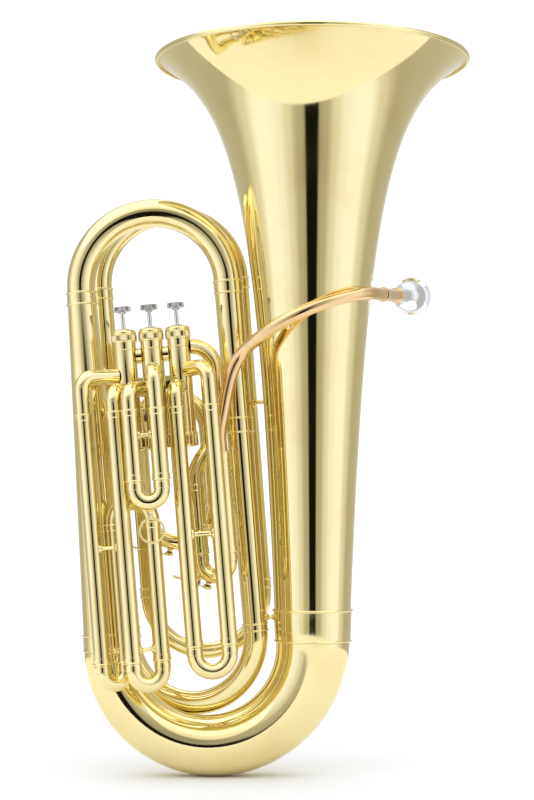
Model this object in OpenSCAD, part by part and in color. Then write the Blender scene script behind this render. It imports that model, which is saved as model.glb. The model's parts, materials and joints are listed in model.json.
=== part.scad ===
// Three-quarter size tuba, bell up, with three top-action piston valves.
// Lengths are in millimetres. The origin lies under the centre of the bottom bow, level with
// its lowest point. +Z runs up the bell axis and the valves face -Y. The valves, slides and
// branches all lean the same few degrees towards -X, so they are drawn upright, with places
// given as [across, depth] and levels along the lean, and leaned together.

/* [Bell] */
// Height of the bell rim above the lowest point of the bottom bow
height = 837; // [780:1:1000]
// Diameter over the rolled rim
rim_d = 370; // [320:1:450]
// Diameter of the bell where it leaves the bottom bow
throat_d = 86; // [76:0.5:90]
// Distance of the bell axis from the centre of the bottom bow
bell_x = 110; // [108:0.5:118]
// How suddenly the flare opens: a small value opens only near the rim
flare_reach = 46; // [45:0.5:80]
// Thickness of the bell sheet
bell_wall = 0.8; // [0.6:0.1:1.2]
// Diameter of the bead rolled round the rim
rim_bead_d = 6; // [5:0.5:8]

/* [Branches and bows] */
// Lean of the valves and branches from the bell axis, degrees
lean_angle = 4.6; // [3:0.1:6]
// Distance of the left front branch from the centre of the bottom bow
bow_left_r = 127.4; // [126:0.2:136]
// Diameter of the left front branch where it meets the bottom bow
bow_left_d = 56; // [50:0.5:58]
// Level at which the front top bow starts
front_bow_level = 572.6; // [540:1:600]
// Level at which the back top bow starts
back_bow_level = 580; // [545:1:610]
// Level at which the inner bottom bow starts
inner_bow_level = 162; // [160:1:185]
// Level at which the back crook starts
back_crook_level = 209; // [200:1:240]
// Diameter of the front top bow
front_bow_d = 33; // [29:0.5:34]
// Diameter of the inner bottom bow
inner_bow_d = 28; // [24:0.5:29]
// Diameter of the back top bow
back_bow_d = 24; // [21:0.5:26]
// Sheet thickness of the bows and branches
branch_wall = 0.7; // [0.5:0.1:1]

/* [Valves] */
// Outer diameter of a valve casing
casing_d = 26; // [23:0.2:32]
// Wall of a valve casing
casing_wall = 1; // [0.8:0.1:1.4]
// Gap between two neighbouring casings
casing_gap = 5; // [4:0.5:8]
// Level of the bottom of the casings
casing_low = 390; // [380:1:396]
// Level of the top of the casings
casing_high = 511; // [508:1:520]
// Radial running clearance of a piston in its casing
piston_gap = 0.05; // [0.02:0.01:0.1]
// How far a piston travels when its button is pressed
piston_travel = 17; // [14:0.5:17]
// Diameter of a piston's stem
stem_d = 5; // [4:0.1:8]
// Diameter of a finger button
button_d = 20; // [16:0.5:24]

/* [Slides] */
// Bore of the valve tubing
bore = 17; // [14:0.1:17.4]
// Wall of a sliding tube, an elbow or a crook
tube_wall = 0.5; // [0.4:0.05:0.6]
// Wall of a fixed sleeve
sleeve_wall = 0.5; // [0.4:0.05:0.6]
// Radial running clearance of a sliding tube in its sleeve
slide_gap = 0.03; // [0.02:0.01:0.1]
// Level of the tops of the valve slide sleeves
sleeve_top = 427; // [415:1:432]
// Level at which the first slide's crook starts
first_crook_level = 145; // [140:1:200]
// Level at which the second slide's crook starts
second_crook_level = 336; // [320:1:350]
// Level at which both crooks of the third slide start
third_crook_level = 133; // [130:1:190]
// Level at which the third slide's upper return bend starts
third_return_level = 300; // [270:1:300]
// Level at which the main tuning slide's crook starts
main_crook_level = 248; // [235:1:260]

/* [Mouth end] */
// Outer diameter of the leadpipe at its receiver
leadpipe_d = 14.5; // [13.5:0.1:15]
// Clear space between the leadpipe and the bell
leadpipe_gap = 6.5; // [5:0.5:12]
// Diameter over the mouthpiece rim
mouthpiece_d = 46.5; // [38:0.5:54]
// Length of the mouthpiece that stands out of its receiver
mouthpiece_reach = 72; // [60:1:90]

/* [Hidden] */
$fn = 64;
eps = 0.01;

brass = "#d9cf96";
rose_brass = "#be915f";
nickel = "#d6d3c8";
silver = "#c9ccd0";
steel = "#8d9094";
cork_brown = "#6b4a2c";
felt_white = "#e9e6dc";

// Diameters of the tubing
tube_d = bore + 2 * tube_wall;
sleeve_id = tube_d + 2 * slide_gap;
sleeve_d = sleeve_id + 2 * sleeve_wall;
band_d = sleeve_d + 1.8;
band_h = 8;
// Solder line between a crook and the tubes that it joins
solder_gap = 0.02;

// Places of the valves, counted from the mouthpiece side
valve_pitch = casing_d + casing_gap;
function valve_at(i) = [-5 - (i - 1) * valve_pitch, -30];

// Places of the slide legs, from the valve that each belongs to
first_left = valve_at(1) + [-7.5, -31];
first_right = valve_at(1) + [32, -31];
second_left = valve_at(2) + [-28, -50];
second_right = valve_at(2) + [2, -50];
third_a = valve_at(3) + [-51, -24];
third_b = valve_at(3) + [-26, -13];
third_c = valve_at(3) + [-15, -38];
third_d = valve_at(3) + [17, -28];
main_right = valve_at(1) + [39, -11];
main_left = valve_at(1) + [6.7, 0];
entry_leg = valve_at(1) + [40, 10];
rear_left = valve_at(3) + [7, 35];
rear_right = valve_at(1) + [24, 35];

// Levels of the ports
entry_port = 496.5;
right_port = 470;
long_port = 468;
left_port = 450;
exit_port = 430;
knuckle_level = 490;
port_d = 15;

// The bottom bow grows from the left front branch to the bell throat
bow_rings = 30;
bow_sides = 24;
function mix(a, b, t) = a + (b - a) * t;
function ease(t) = (1 - cos(180 * t)) / 2;
function bow_angle(t) = mix(180 + lean_angle, 360, t);
function bow_reach(t) = mix(bow_left_r, bell_x, ease(t));
function bow_r(t) = mix(bow_left_d, throat_d, t) / 2;
bow_level = max([for (i = [0:bow_rings])
    -(bow_reach(i / bow_rings) + bow_r(i / bow_rings)) * sin(bow_angle(i / bow_rings))]);
left_front_level = bow_level * cos(lean_angle);

// Places of the branches
left_front = [bow_level * sin(lean_angle) - bow_left_r, 0];
right_front = [57, 0];
left_back = [-94, 45];
right_back = [69, 42];
riser_left = [-65, 30];
riser_bow_level = 400;
rear_crook_level = 311;

// Radius of the bell at height z: a throat that opens by a power law towards the rim
flare_power = 0.42;
bead_rise = rim_bead_d / 2 - 0.4;
bell_top = height - bead_rise;
function opening(z) = pow((bell_top + flare_reach - z) / flare_reach, -flare_power);
function bell_r(z) = mix(throat_d, rim_d - rim_bead_d, (opening(z) - opening(bow_level))
    / (1 - opening(bow_level))) / 2;

// Leaning frame
function leaned(p) = [p[0] * cos(lean_angle) - p[2] * sin(lean_angle), p[1],
                      p[0] * sin(lean_angle) + p[2] * cos(lean_angle)];
module lean() {
    rotate([0, -lean_angle, 0]) children();
}

// Sets a child's Z axis along a direction, with its origin at a point
module along(point, direction) {
    translate(point)
        rotate([0, acos(direction[2] / norm(direction)), atan2(direction[1], direction[0])])
            children();
}

// ---- Tubes ----

module ring_2d(d, wall) {
    difference() {
        circle(d = d);
        circle(d = d - 2 * wall);
    }
}

// Straight tube at a place, between two levels, which may taper
module straight_tube(place, low, high, d_low, d_high, wall) {
    translate([place[0], place[1], low])
        difference() {
            cylinder(h = high - low, d1 = d_low, d2 = d_high);
            translate([0, 0, -eps])
                cylinder(h = high - low + 2 * eps, d1 = d_low - 2 * wall, d2 = d_high - 2 * wall);
        }
}

function midway(p1, p2, level) = [(p1[0] + p2[0]) / 2, (p1[1] + p2[1]) / 2, level];
function heading(p1, p2) = atan2(p2[1] - p1[1], p2[0] - p1[0]);

// Half circle of tube that joins two upright tubes at a level, above it or below it
module u_bend(p1, p2, level, d, wall, over = true) {
    translate(midway(p1, p2, level))
        rotate([90, 0, heading(p1, p2)])
            rotate([0, 0, over ? 0 : 180])
                rotate_extrude(angle = 180)
                    translate([norm(p2 - p1) / 2, 0])
                        ring_2d(d, wall);
}

// Tube that rises from a leg, turns and runs level to the axis of a valve: a straight rise,
// a quarter bend and a straight run, soldered end to end
module port_elbow(leg, valve, low, level, bend_r) {
    reach = norm(valve - leg);
    straight_tube(leg, low, level - bend_r - solder_gap, tube_d, tube_d, tube_wall);
    translate([leg[0], leg[1], level - bend_r])
        rotate([0, 0, heading(leg, valve)]) {
            translate([bend_r, 0, 0])
                rotate([90, 0, 0])
                    rotate([0, 0, 90])
                        rotate_extrude(angle = 90)
                            translate([bend_r, 0])
                                ring_2d(tube_d, tube_wall);
            translate([bend_r + solder_gap, 0, bend_r])
                rotate([0, 90, 0])
                    straight_tube([0, 0], 0, reach - bend_r - solder_gap, tube_d, tube_d, tube_wall);
        }
}

// Hollow tube carried along a path, with a radius for each point of it.
// The first direction is the way that the first corner of every ring faces.
function unit(v) = v / norm(v);
function tangent(path, i) = unit(path[min(i + 1, len(path) - 1)] - path[max(i - 1, 0)]);
function square_to(v, t) = unit(v - (v * t) * t);
function carried(path, first) =
    [for (i = 0, n = square_to(first, tangent(path, 0)); i < len(path);
          i = i + 1, n = square_to(n, tangent(path, min(i, len(path) - 1)))) n];

// Faces of a hollow tube of rings: the outer skin, the inner skin and the two ends
function tube_faces(count, sides) =
    let (hole = count * sides, last = (count - 1) * sides)
    concat(
        [for (i = [0:count - 2], k = [0:sides - 1])
            let (a = i * sides + k, b = i * sides + (k + 1) % sides)
            each [[a, a + sides, b + sides], [a, b + sides, b],
                  [hole + a, hole + b + sides, hole + a + sides], [hole + a, hole + b, hole + b + sides]]],
        [for (a = [0:sides - 1])
            let (b = (a + 1) % sides)
            each [[a, b, hole + b], [a, hole + b, hole + a],
                  [last + a, hole + last + b, last + b], [last + a, hole + last + a, hole + last + b]]]);

module swept_tube(path, radii, wall, sides, first) {
    count = len(path);
    facing = carried(path, first);
    function corner(i, k, r) = path[i] + r * (cos(360 * k / sides) * facing[i]
        + sin(360 * k / sides) * cross(tangent(path, i), facing[i]));
    outer = [for (i = [0:count - 1], k = [0:sides - 1]) corner(i, k, radii[i])];
    inner = [for (i = [0:count - 1], k = [0:sides - 1]) corner(i, k, radii[i] - wall)];
    polyhedron(points = concat(outer, inner), faces = tube_faces(count, sides), convexity = 6);
}

// Smooth curve through a list of points, with some steps between each pair
function knot(points, i) = points[max(0, min(len(points) - 1, i))];
function between(a, b, c, d, t) = 0.5 * (2 * b + (c - a) * t + (2 * a - 5 * b + 4 * c - d) * t * t
    + (3 * b - a - 3 * c + d) * t * t * t);
function smooth_path(points, steps) = concat(
    [for (i = [0:len(points) - 2], s = [0:steps - 1])
        between(knot(points, i - 1), points[i], points[i + 1], knot(points, i + 2), s / steps)],
    [points[len(points) - 1]]);

// ---- Bell ----

// Levels up the bell, closer together towards the rim
bell_steps = 30;
function bell_level(i) = mix(bow_level, bell_top, 1 - pow(1 - i / bell_steps, 1.7));

module bell_sheet(outside, inside, first = 0, last = bell_steps) {
    rotate_extrude()
        polygon(concat(
            [for (i = [first:last]) [bell_r(bell_level(i)) + outside, bell_level(i)]],
            [for (i = [last:-1:first]) [bell_r(bell_level(i)) + inside, bell_level(i)]]));
}

module bell() {
    color(brass) translate([bell_x, 0, 0]) {
        bell_sheet(0, -bell_wall);
        // The rim bead has a narrow land on top
        rotate_extrude()
            difference() {
                translate([(rim_d - rim_bead_d) / 2, bell_top])
                    circle(d = rim_bead_d);
                translate([0, height])
                    square([rim_d, rim_bead_d]);
            }
    }
}

// The bell with nothing inside, for cutting braces to it
module bell_outside() {
    translate([bell_x, 0, 0])
        rotate_extrude()
            polygon(concat([[0, bow_level]],
                [for (i = [0:bell_steps]) [bell_r(bell_level(i)), bell_level(i)]],
                [[0, bell_top]]));
}

// ---- Bows and branches ----

module bottom_bow() {
    path = [for (i = [0:bow_rings]) let (t = i / bow_rings)
        [bow_reach(t) * cos(bow_angle(t)), 0, bow_level + bow_reach(t) * sin(bow_angle(t))]];
    color(brass)
        swept_ring_tube(path, [for (i = [0:bow_rings]) bow_r(i / bow_rings)],
            [for (i = [0:bow_rings]) bow_angle(i / bow_rings)]);
}

// Hollow bow whose rings all face its centre, so both its ends are square to their branches
module swept_ring_tube(path, radii, angles) {
    count = len(path);
    function corner(i, k, r) = path[i] + r * (cos(360 * k / bow_sides) * [cos(angles[i]), 0, sin(angles[i])]
        + sin(360 * k / bow_sides) * [0, 1, 0]);
    outer = [for (i = [0:count - 1], k = [0:bow_sides - 1]) corner(i, k, radii[i])];
    inner = [for (i = [0:count - 1], k = [0:bow_sides - 1]) corner(i, k, radii[i] - bell_wall)];
    polyhedron(points = concat(outer, inner), faces = tube_faces(count, bow_sides), convexity = 6);
}

module left_front_branch() {
    color(brass) lean()
        straight_tube(left_front, left_front_level, front_bow_level, bow_left_d, front_bow_d, branch_wall);
}

module front_top_bow() {
    color(brass) lean()
        u_bend(left_front, right_front, front_bow_level, front_bow_d, branch_wall);
}

module right_front_branch() {
    color(brass) lean()
        straight_tube(right_front, inner_bow_level, front_bow_level, inner_bow_d, front_bow_d, branch_wall);
}

module inner_bottom_bow() {
    color(brass) lean()
        u_bend(left_back, right_front, inner_bow_level, inner_bow_d, branch_wall, over = false);
}

module left_back_branch() {
    color(brass) lean()
        straight_tube(left_back, inner_bow_level, back_bow_level, inner_bow_d, back_bow_d, branch_wall);
}

module back_top_bow() {
    color(brass) lean()
        u_bend(left_back, right_back, back_bow_level, back_bow_d, branch_wall);
}

module right_back_branch() {
    color(brass) lean()
        straight_tube(right_back, back_crook_level, back_bow_level, sleeve_d, back_bow_d, branch_wall);
}

module back_crook() {
    color(brass) lean()
        u_bend(riser_left, right_back, back_crook_level, sleeve_d, branch_wall, over = false);
}

// From the back crook up behind the valves, over, and down to the rear crook
module rear_riser() {
    color(brass) lean() {
        straight_tube(riser_left, back_crook_level, riser_bow_level, sleeve_d, sleeve_d, branch_wall);
        u_bend(riser_left, rear_right, riser_bow_level + solder_gap, sleeve_d, branch_wall);
        straight_tube(rear_right, rear_crook_level, riser_bow_level, sleeve_d, sleeve_d, branch_wall);
    }
}

module rear_crook() {
    color(brass) lean()
        u_bend(rear_left, rear_right, rear_crook_level, tube_d, tube_wall, over = false);
}

// Ring over a joint: a thin sleeve with a bead at each edge, whose inside follows the tube
module ferrule(place, low, high, r_low, r_high) {
    thick = 1;
    bead = 1.6;
    loose = 0.1;
    lean() translate([place[0], place[1], 0])
        rotate_extrude()
            polygon([[r_low + loose, low], [r_low + bead, low], [r_low + bead, low + 2],
                     [r_low + thick, low + 3], [r_high + thick, high - 3],
                     [r_high + bead, high - 2], [r_high + bead, high], [r_high + loose, high]]);
}

// Radius of a tapered branch at a level
function branch_r(level, low, high, d_low, d_high) = mix(d_low, d_high, (level - low) / (high - low)) / 2;

module branch_ferrules() {
    left_r = function(w) branch_r(w, left_front_level, front_bow_level, bow_left_d, front_bow_d);
    right_r = function(w) branch_r(w, inner_bow_level, front_bow_level, inner_bow_d, front_bow_d);
    back_r = function(w) branch_r(w, inner_bow_level, back_bow_level, inner_bow_d, back_bow_d);
    last_r = function(w) branch_r(w, back_crook_level, back_bow_level, sleeve_d, back_bow_d);
    color(brass) {
        for (f = [[left_front, left_front_level, 20, left_r], [left_front, front_bow_level - 16, 16, left_r],
                  [right_front, front_bow_level - 16, 16, right_r], [right_front, 393, 19, right_r],
                  [right_front, inner_bow_level, 10, right_r], [left_back, inner_bow_level, 14, back_r],
                  [left_back, back_bow_level - 14, 14, back_r], [right_back, back_bow_level - 14, 14, last_r],
                  [right_back, back_crook_level, 12, last_r]])
            ferrule(f[0], f[1], f[1] + f[2], f[3](f[1]), f[3](f[1] + f[2]));
        for (f = [[riser_left, back_crook_level], [rear_right, rear_crook_level]])
            ferrule(f[0], f[1], f[1] + 12, sleeve_d / 2, sleeve_d / 2);
        // Wide ferrule on the bell throat, with a bead at each edge
        translate([bell_x, 0, 0]) {
            bell_sheet(1.2, 0.1, 0, 1);
            for (i = [0, 1])
                translate([0, 0, bell_level(i) + (i == 0 ? 1.5 : -1.5)])
                    rotate_extrude()
                        translate([bell_r(bell_level(i)) + 1.7, 0])
                            circle(d = 2.4);
        }
    }
}

// ---- Valves ----

module valve_hole(i, toward, level, d) {
    translate([valve_at(i)[0], valve_at(i)[1], level])
        rotate([0, 90, heading(valve_at(i), toward)])
            cylinder(h = casing_d, d = d);
}

// Where each valve's ports point, and at which level
function ports(i) = [
    [[first_left, left_port], [first_right, right_port], [entry_leg, entry_port],
     [valve_at(2), knuckle_level]],
    [[second_left, left_port], [second_right, right_port], [valve_at(1), knuckle_level],
     [valve_at(3), knuckle_level]],
    [[third_a, long_port], [third_c, left_port], [rear_left, exit_port],
     [valve_at(2), knuckle_level]]][i - 1];

module valve_casing(i) {
    color(brass) lean()
        difference() {
            straight_tube(valve_at(i), casing_low, casing_high, casing_d, casing_d, casing_wall);
            for (port = ports(i))
                valve_hole(i, port[0], port[1], port_d);
        }
}

module casing_space(i) {
    translate([valve_at(i)[0], valve_at(i)[1], casing_low])
        cylinder(h = casing_high - casing_low, d = casing_d);
}

// Short tubes and plates that tie neighbouring casings together
module valve_knuckles() {
    color(brass) lean()
        for (i = [1, 2])
            difference() {
                union() {
                    translate([valve_at(i + 1)[0], valve_at(i)[1], knuckle_level])
                        rotate([0, 90, 0])
                            difference() {
                                cylinder(h = valve_pitch, d = tube_d);
                                translate([0, 0, -eps])
                                    cylinder(h = valve_pitch + 2 * eps, d = port_d);
                            }
                    for (level = [casing_low + 22, knuckle_level - 41])
                        translate([valve_at(i + 1)[0], valve_at(i)[1] - 3, level])
                            cube([valve_pitch, 6, 16]);
                }
                casing_space(i);
                casing_space(i + 1);
            }
}

piston_d = casing_d - 2 * casing_wall - 2 * piston_gap;
piston_low = casing_low + 28;
piston_high = casing_high - 2;
piston_wall = 0.8;

// Hollow piston with three cross passages and a hole in its floor
module piston(i) {
    passages = [for (p = [0, 1, 3]) [ports(i)[p][0], [left_port, right_port - 1, 0, knuckle_level][p]]];
    module passage(p, d) {
        translate([valve_at(i)[0], valve_at(i)[1], p[1]])
            rotate([0, 90, heading(valve_at(i), p[0])])
                translate([0, 0, -casing_d])
                    cylinder(h = 2 * casing_d, d = d);
    }
    color(nickel) lean()
        difference() {
            translate([valve_at(i)[0], valve_at(i)[1], piston_low])
                cylinder(h = piston_high - piston_low, d = piston_d);
            difference() {
                translate([valve_at(i)[0], valve_at(i)[1], piston_low + 2])
                    cylinder(h = piston_high - piston_low - 4, d = piston_d - 2 * piston_wall);
                for (p = passages)
                    passage(p, port_d + 1);
            }
            for (p = passages)
                passage(p, port_d);
            translate([valve_at(i)[0], valve_at(i)[1], piston_low - eps])
                cylinder(h = 4, d = 8);
        }
}

cap_wall = 1.2;
cap_gap = 0.05;
cap_skirt = 8;
top_skirt = 5;
cap_top = casing_high + 10;
felt_h = 1.5;
button_low = cap_top + felt_h + piston_travel + 0.5;

module stem(i) {
    color(nickel) lean()
        translate([valve_at(i)[0], valve_at(i)[1], piston_high])
            cylinder(h = button_low - piston_high, d = stem_d);
}

// Dished button: a rounded disc with a raised edge round the inlay
module button(i) {
    r = button_d / 2;
    color(silver) lean()
        translate([valve_at(i)[0], valve_at(i)[1], button_low])
            rotate_extrude()
                polygon([[0, 0], [stem_d / 2 + 2, 0], [r - 2, 3], [r - 0.4, 4.4], [r, 6],
                         [r - 0.3, 7.4], [r - 1.2, 8], [r - 2, 7.6], [r - 4, 7.1], [0, 6.9]]);
}

module top_caps() {
    r = casing_d / 2;
    color(brass) lean()
        for (i = [1:3])
            translate([valve_at(i)[0], valve_at(i)[1], 0])
                rotate_extrude()
                    polygon([[r + cap_gap, casing_high - top_skirt], [r + cap_wall + 0.6, casing_high - top_skirt],
                             [r + cap_wall + 0.6, casing_high - top_skirt + 2],
                             [r + cap_wall, casing_high - top_skirt + 2.6],
                             [r + cap_wall, cap_top - 4], [r - 1, cap_top - 1.5], [r - 3, cap_top],
                             [stem_d / 2 + 0.5, cap_top], [stem_d / 2 + 0.5, cap_top - cap_wall],
                             [r - 3.4, cap_top - cap_wall], [r - 1.4, cap_top - 3.4],
                             [r - 1.4, casing_high], [r + cap_gap, casing_high]]);
}

module bottom_caps() {
    r = casing_d / 2;
    floor_level = casing_low - 10;
    color(brass) lean()
        for (i = [1:3])
            translate([valve_at(i)[0], valve_at(i)[1], 0])
                rotate_extrude()
                    polygon([[r + cap_gap, casing_low + cap_skirt], [r + cap_wall + 0.6, casing_low + cap_skirt],
                             [r + cap_wall + 0.6, casing_low + cap_skirt - 2], [r + cap_wall, casing_low + 5],
                             [r + cap_wall, floor_level + 4], [r - 1, floor_level + 1], [3, floor_level],
                             [3, floor_level + cap_wall], [r - 1.4, floor_level + 3],
                             [r - 1.4, casing_low], [r + cap_gap, casing_low]]);
}

module cap_felts() {
    color(felt_white) lean()
        for (i = [1:3])
            translate([valve_at(i)[0], valve_at(i)[1], cap_top])
                difference() {
                    cylinder(h = felt_h, d = stem_d + 8);
                    translate([0, 0, -eps])
                        cylinder(h = felt_h + 2 * eps, d = stem_d + 1);
                }
}

// Compression spring between the bottom cap and the piston
spring_low = casing_low - 6.2;
spring_wire = 1.1;
spring_turns = 6;
spring_steps = 12;
module valve_spring(i) {
    rise = piston_low - spring_low - spring_wire - 0.2;
    coil_r = casing_d / 2 - 4;
    count = spring_turns * spring_steps;
    path = [for (s = [0:count])
        [coil_r * cos(360 * s / spring_steps), coil_r * sin(360 * s / spring_steps), rise * s / count]];
    color(steel) lean()
        translate([valve_at(i)[0], valve_at(i)[1], spring_low + spring_wire / 2])
            swept_tube(path, [for (p = path) spring_wire / 2], spring_wire / 4, 6, [1, 0, 0]);
}

// ---- Valve tubing ----

module first_slide_elbows() {
    color(brass) lean()
        difference() {
            union() {
                port_elbow(first_left, valve_at(1), sleeve_top - 6, left_port, 13);
                port_elbow(first_right, valve_at(1), sleeve_top - 6, right_port, 14);
            }
            casing_space(1);
        }
}

module second_slide_elbows() {
    color(brass) lean()
        difference() {
            union() {
                port_elbow(second_left, valve_at(2), sleeve_top - 6, left_port, 14);
                port_elbow(second_right, valve_at(2), sleeve_top - 6, right_port, 14);
            }
            casing_space(2);
        }
}

module third_slide_elbows() {
    color(brass) lean()
        difference() {
            union() {
                port_elbow(third_a, valve_at(3), sleeve_top - 6, long_port, 14);
                port_elbow(third_c, valve_at(3), sleeve_top - 6, left_port, 14);
                port_elbow(rear_left, valve_at(3), rear_crook_level, exit_port, 14);
            }
            casing_space(3);
        }
}

// Fixed outer tube of a slide, with a band at each end
module sleeve(place, low, high) {
    translate([place[0], place[1], 0])
        rotate_extrude()
            polygon([[sleeve_id / 2, low], [band_d / 2, low], [band_d / 2, low + band_h],
                     [sleeve_d / 2, low + band_h + 0.6], [sleeve_d / 2, high - band_h - 0.6],
                     [band_d / 2, high - band_h], [band_d / 2, high], [sleeve_id / 2, high]]);
}

// Sliding part: two inner tubes, each with a band at its foot, and the crook soldered to them
module slide(p1, p2, level, top_1, top_2) {
    for (leg = [[p1, top_1], [p2, top_2]])
        translate([leg[0][0], leg[0][1], 0])
            rotate_extrude()
                polygon([[bore / 2, level], [sleeve_d / 2, level], [sleeve_d / 2, level + band_h],
                         [tube_d / 2, level + band_h], [tube_d / 2, leg[1]], [bore / 2, leg[1]]]);
    u_bend(p1, p2, level - solder_gap, tube_d, tube_wall, over = false);
}

slide_stop = band_h + 1;

module first_slide_sleeves() {
    color(brass) lean() {
        sleeve(first_left, first_crook_level + slide_stop, sleeve_top);
        sleeve(first_right, first_crook_level + slide_stop, sleeve_top);
    }
}

module second_slide_sleeves() {
    color(brass) lean() {
        sleeve(second_left, second_crook_level + slide_stop, sleeve_top);
        sleeve(second_right, second_crook_level + slide_stop, sleeve_top);
    }
}

module third_slide_sleeves() {
    color(brass) lean() {
        sleeve(third_a, third_crook_level + slide_stop, sleeve_top);
        sleeve(third_c, third_crook_level + slide_stop, sleeve_top);
        sleeve(third_b, third_crook_level + slide_stop, third_return_level);
        sleeve(third_d, third_crook_level + slide_stop, third_return_level);
    }
}

// Upper bend between the long and the short crook of the third slide
module third_slide_return() {
    color(brass) lean()
        u_bend(third_b, third_d, third_return_level, sleeve_d, sleeve_wall);
}

main_right_top = 372;
main_left_top = 338;
module main_slide_sleeves() {
    color(brass) lean() {
        sleeve(main_right, main_crook_level + slide_stop, main_right_top);
        sleeve(main_left, main_crook_level + slide_stop, main_left_top);
    }
}

module first_slide() {
    color(brass) lean()
        slide(first_left, first_right, first_crook_level, first_crook_level + 145, first_crook_level + 145);
}

module second_slide() {
    color(brass) lean()
        slide(second_left, second_right, second_crook_level, sleeve_top - 12, sleeve_top - 12);
}

module third_slide_long() {
    color(brass) lean()
        slide(third_a, third_b, third_crook_level, third_crook_level + 142, third_crook_level + 142);
}

module third_slide_short() {
    color(brass) lean()
        slide(third_c, third_d, third_crook_level, third_crook_level + 142, third_crook_level + 142);
}

module main_tuning_slide() {
    color(brass) lean()
        slide(main_left, main_right, main_crook_level, main_left_top - 12, main_right_top - 12);
}

// Ring that hangs from a post under the second slide's crook
ring_d = 30;
ring_wire = 2.6;
module pull_ring() {
    crook_bottom = second_crook_level - norm(second_right - second_left) / 2 - tube_d / 2;
    color(brass) lean()
        translate(midway(second_left, second_right, crook_bottom)) {
            translate([0, 0, -8])
                rotate([90, 0, 0])
                    translate([0, -ring_d / 2, 0])
                        rotate([0, 0, -50]) rotate_extrude()
                            translate([(ring_d - ring_wire) / 2, 0])
                                circle(d = ring_wire);
            difference() {
                translate([0, 0, -8 - 0.6 * ring_wire])
                    cylinder(h = 11 + 0.6 * ring_wire, d = 4.4);
                translate([0, 0, (norm(second_right - second_left) + tube_d) / 2])
                    rotate([90, 0, 0])
                        rotate_extrude()
                            translate([norm(second_right - second_left) / 2, 0])
                                circle(d = tube_d);
            }
        }
}

// ---- Braces ----

// Level rod with a flange at each end, between two upright tubes
module brace(p1, p2, level, d1, d2, rod_d = 4.5) {
    span = norm(p2 - p1);
    translate([p1[0], p1[1], level])
        rotate([0, 90, heading(p1, p2)])
            difference() {
                union() {
                    cylinder(h = span, d = rod_d);
                    for (z = [d1 / 2 - 1, span - d2 / 2 - 0.8])
                        translate([0, 0, z])
                            cylinder(h = 1.8, d = 2.2 * rod_d);
                }
                for (end = [[0, d1], [span, d2]])
                    translate([0, 0, end[0]])
                        rotate([0, 90, 0])
                            translate([0, 0, -20])
                                cylinder(h = 40, d = end[1]);
            }
}

function left_front_d(w) = 2 * branch_r(w, left_front_level, front_bow_level, bow_left_d, front_bow_d);
function right_front_d(w) = 2 * branch_r(w, inner_bow_level, front_bow_level, inner_bow_d, front_bow_d);

module slide_braces() {
    color(brass) lean() {
        brace(first_left, first_right, 281, sleeve_d, sleeve_d, 6);
        brace(third_a, third_c, 273, sleeve_d, sleeve_d);
        brace(third_a, third_b, third_crook_level + slide_stop + 14, sleeve_d, sleeve_d);
        brace(third_c, third_d, third_crook_level + slide_stop + 14, sleeve_d, sleeve_d);
        brace(second_left, second_right, sleeve_top - 30, sleeve_d, sleeve_d);
        brace(main_left, main_right, main_crook_level + 40, sleeve_d, sleeve_d);
    }
}

// Rods from the branches to the slides, the bell and the leadpipe
module body_braces() {
    color(brass) {
        lean() {
            brace(left_front, third_a, 385, left_front_d(385) + 1, sleeve_d);
            brace(right_front, rear_right, 350, right_front_d(350) + 0.6, sleeve_d);
            brace(left_front, left_back, 480, left_front_d(480) + 1,
                2 * branch_r(480, inner_bow_level, back_bow_level, inner_bow_d, back_bow_d) + 0.6);
        }
        bell_brace(leaned([right_front[0], right_front[1], 178.5]), right_front_d(178.5) + 0.6);
        bell_brace(leaned([right_back[0], right_back[1], 430]),
            2 * branch_r(430, back_crook_level, back_bow_level, sleeve_d, back_bow_d) + 0.6);
        leadpipe_post();
    }
}

// Level rod from an upright tube to the bell
module bell_brace(point, d) {
    reach = norm([bell_x - point[0], point[1]]);
    difference() {
        translate(point)
            rotate([0, 90, atan2(-point[1], bell_x - point[0])]) {
                cylinder(h = reach, d = 5);
                translate([0, 0, d / 2 - 1])
                    cylinder(h = 2.4, d = 10);
                translate([0, 0, reach - bell_r(point[2]) - 3])
                    cylinder(h = 5, d = 10);
            }
        translate(point)
            rotate([0, -lean_angle, 0])
                translate([0, 0, -20])
                    cylinder(h = 40, d = d);
        bell_clearance();
    }
}

// The bell and its ferrule as one body, a hair larger, so a brace foot only touches it
module bell_clearance() {
    bell_outside();
    translate([bell_x, 0, bow_level])
        cylinder(h = bell_level(1) - bow_level, r1 = bell_r(bow_level) + 1.3, r2 = bell_r(bell_level(1)) + 1.3);
}

// Short post from the leadpipe, where it starts to wrap, to the bell
post_share = 0.25;
module leadpipe_post() {
    a = mix(wrap_start, wrap_end, post_share);
    difference() {
        translate(wrap_point(post_share))
            rotate([0, 90, a + 180]) {
                cylinder(h = wrap_reach(post_share), d = 5);
                translate([0, 0, leadpipe_r - 1])
                    cylinder(h = 2.4, d = 9);
                translate([0, 0, wrap_reach(post_share) - bell_r(wrap_level(post_share)) - 3])
                    cylinder(h = 5, d = 10);
            }
        // Along the leadpipe, which is nearly straight for the width of the foot
        along(wrap_point(post_share), wrap_point(post_share + 0.05) - wrap_point(post_share - 0.05))
            translate([0, 0, -20])
                cylinder(h = 40, r = leadpipe_r + 0.3);
        bell_clearance();
    }
}

// ---- Mouth end ----

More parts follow.
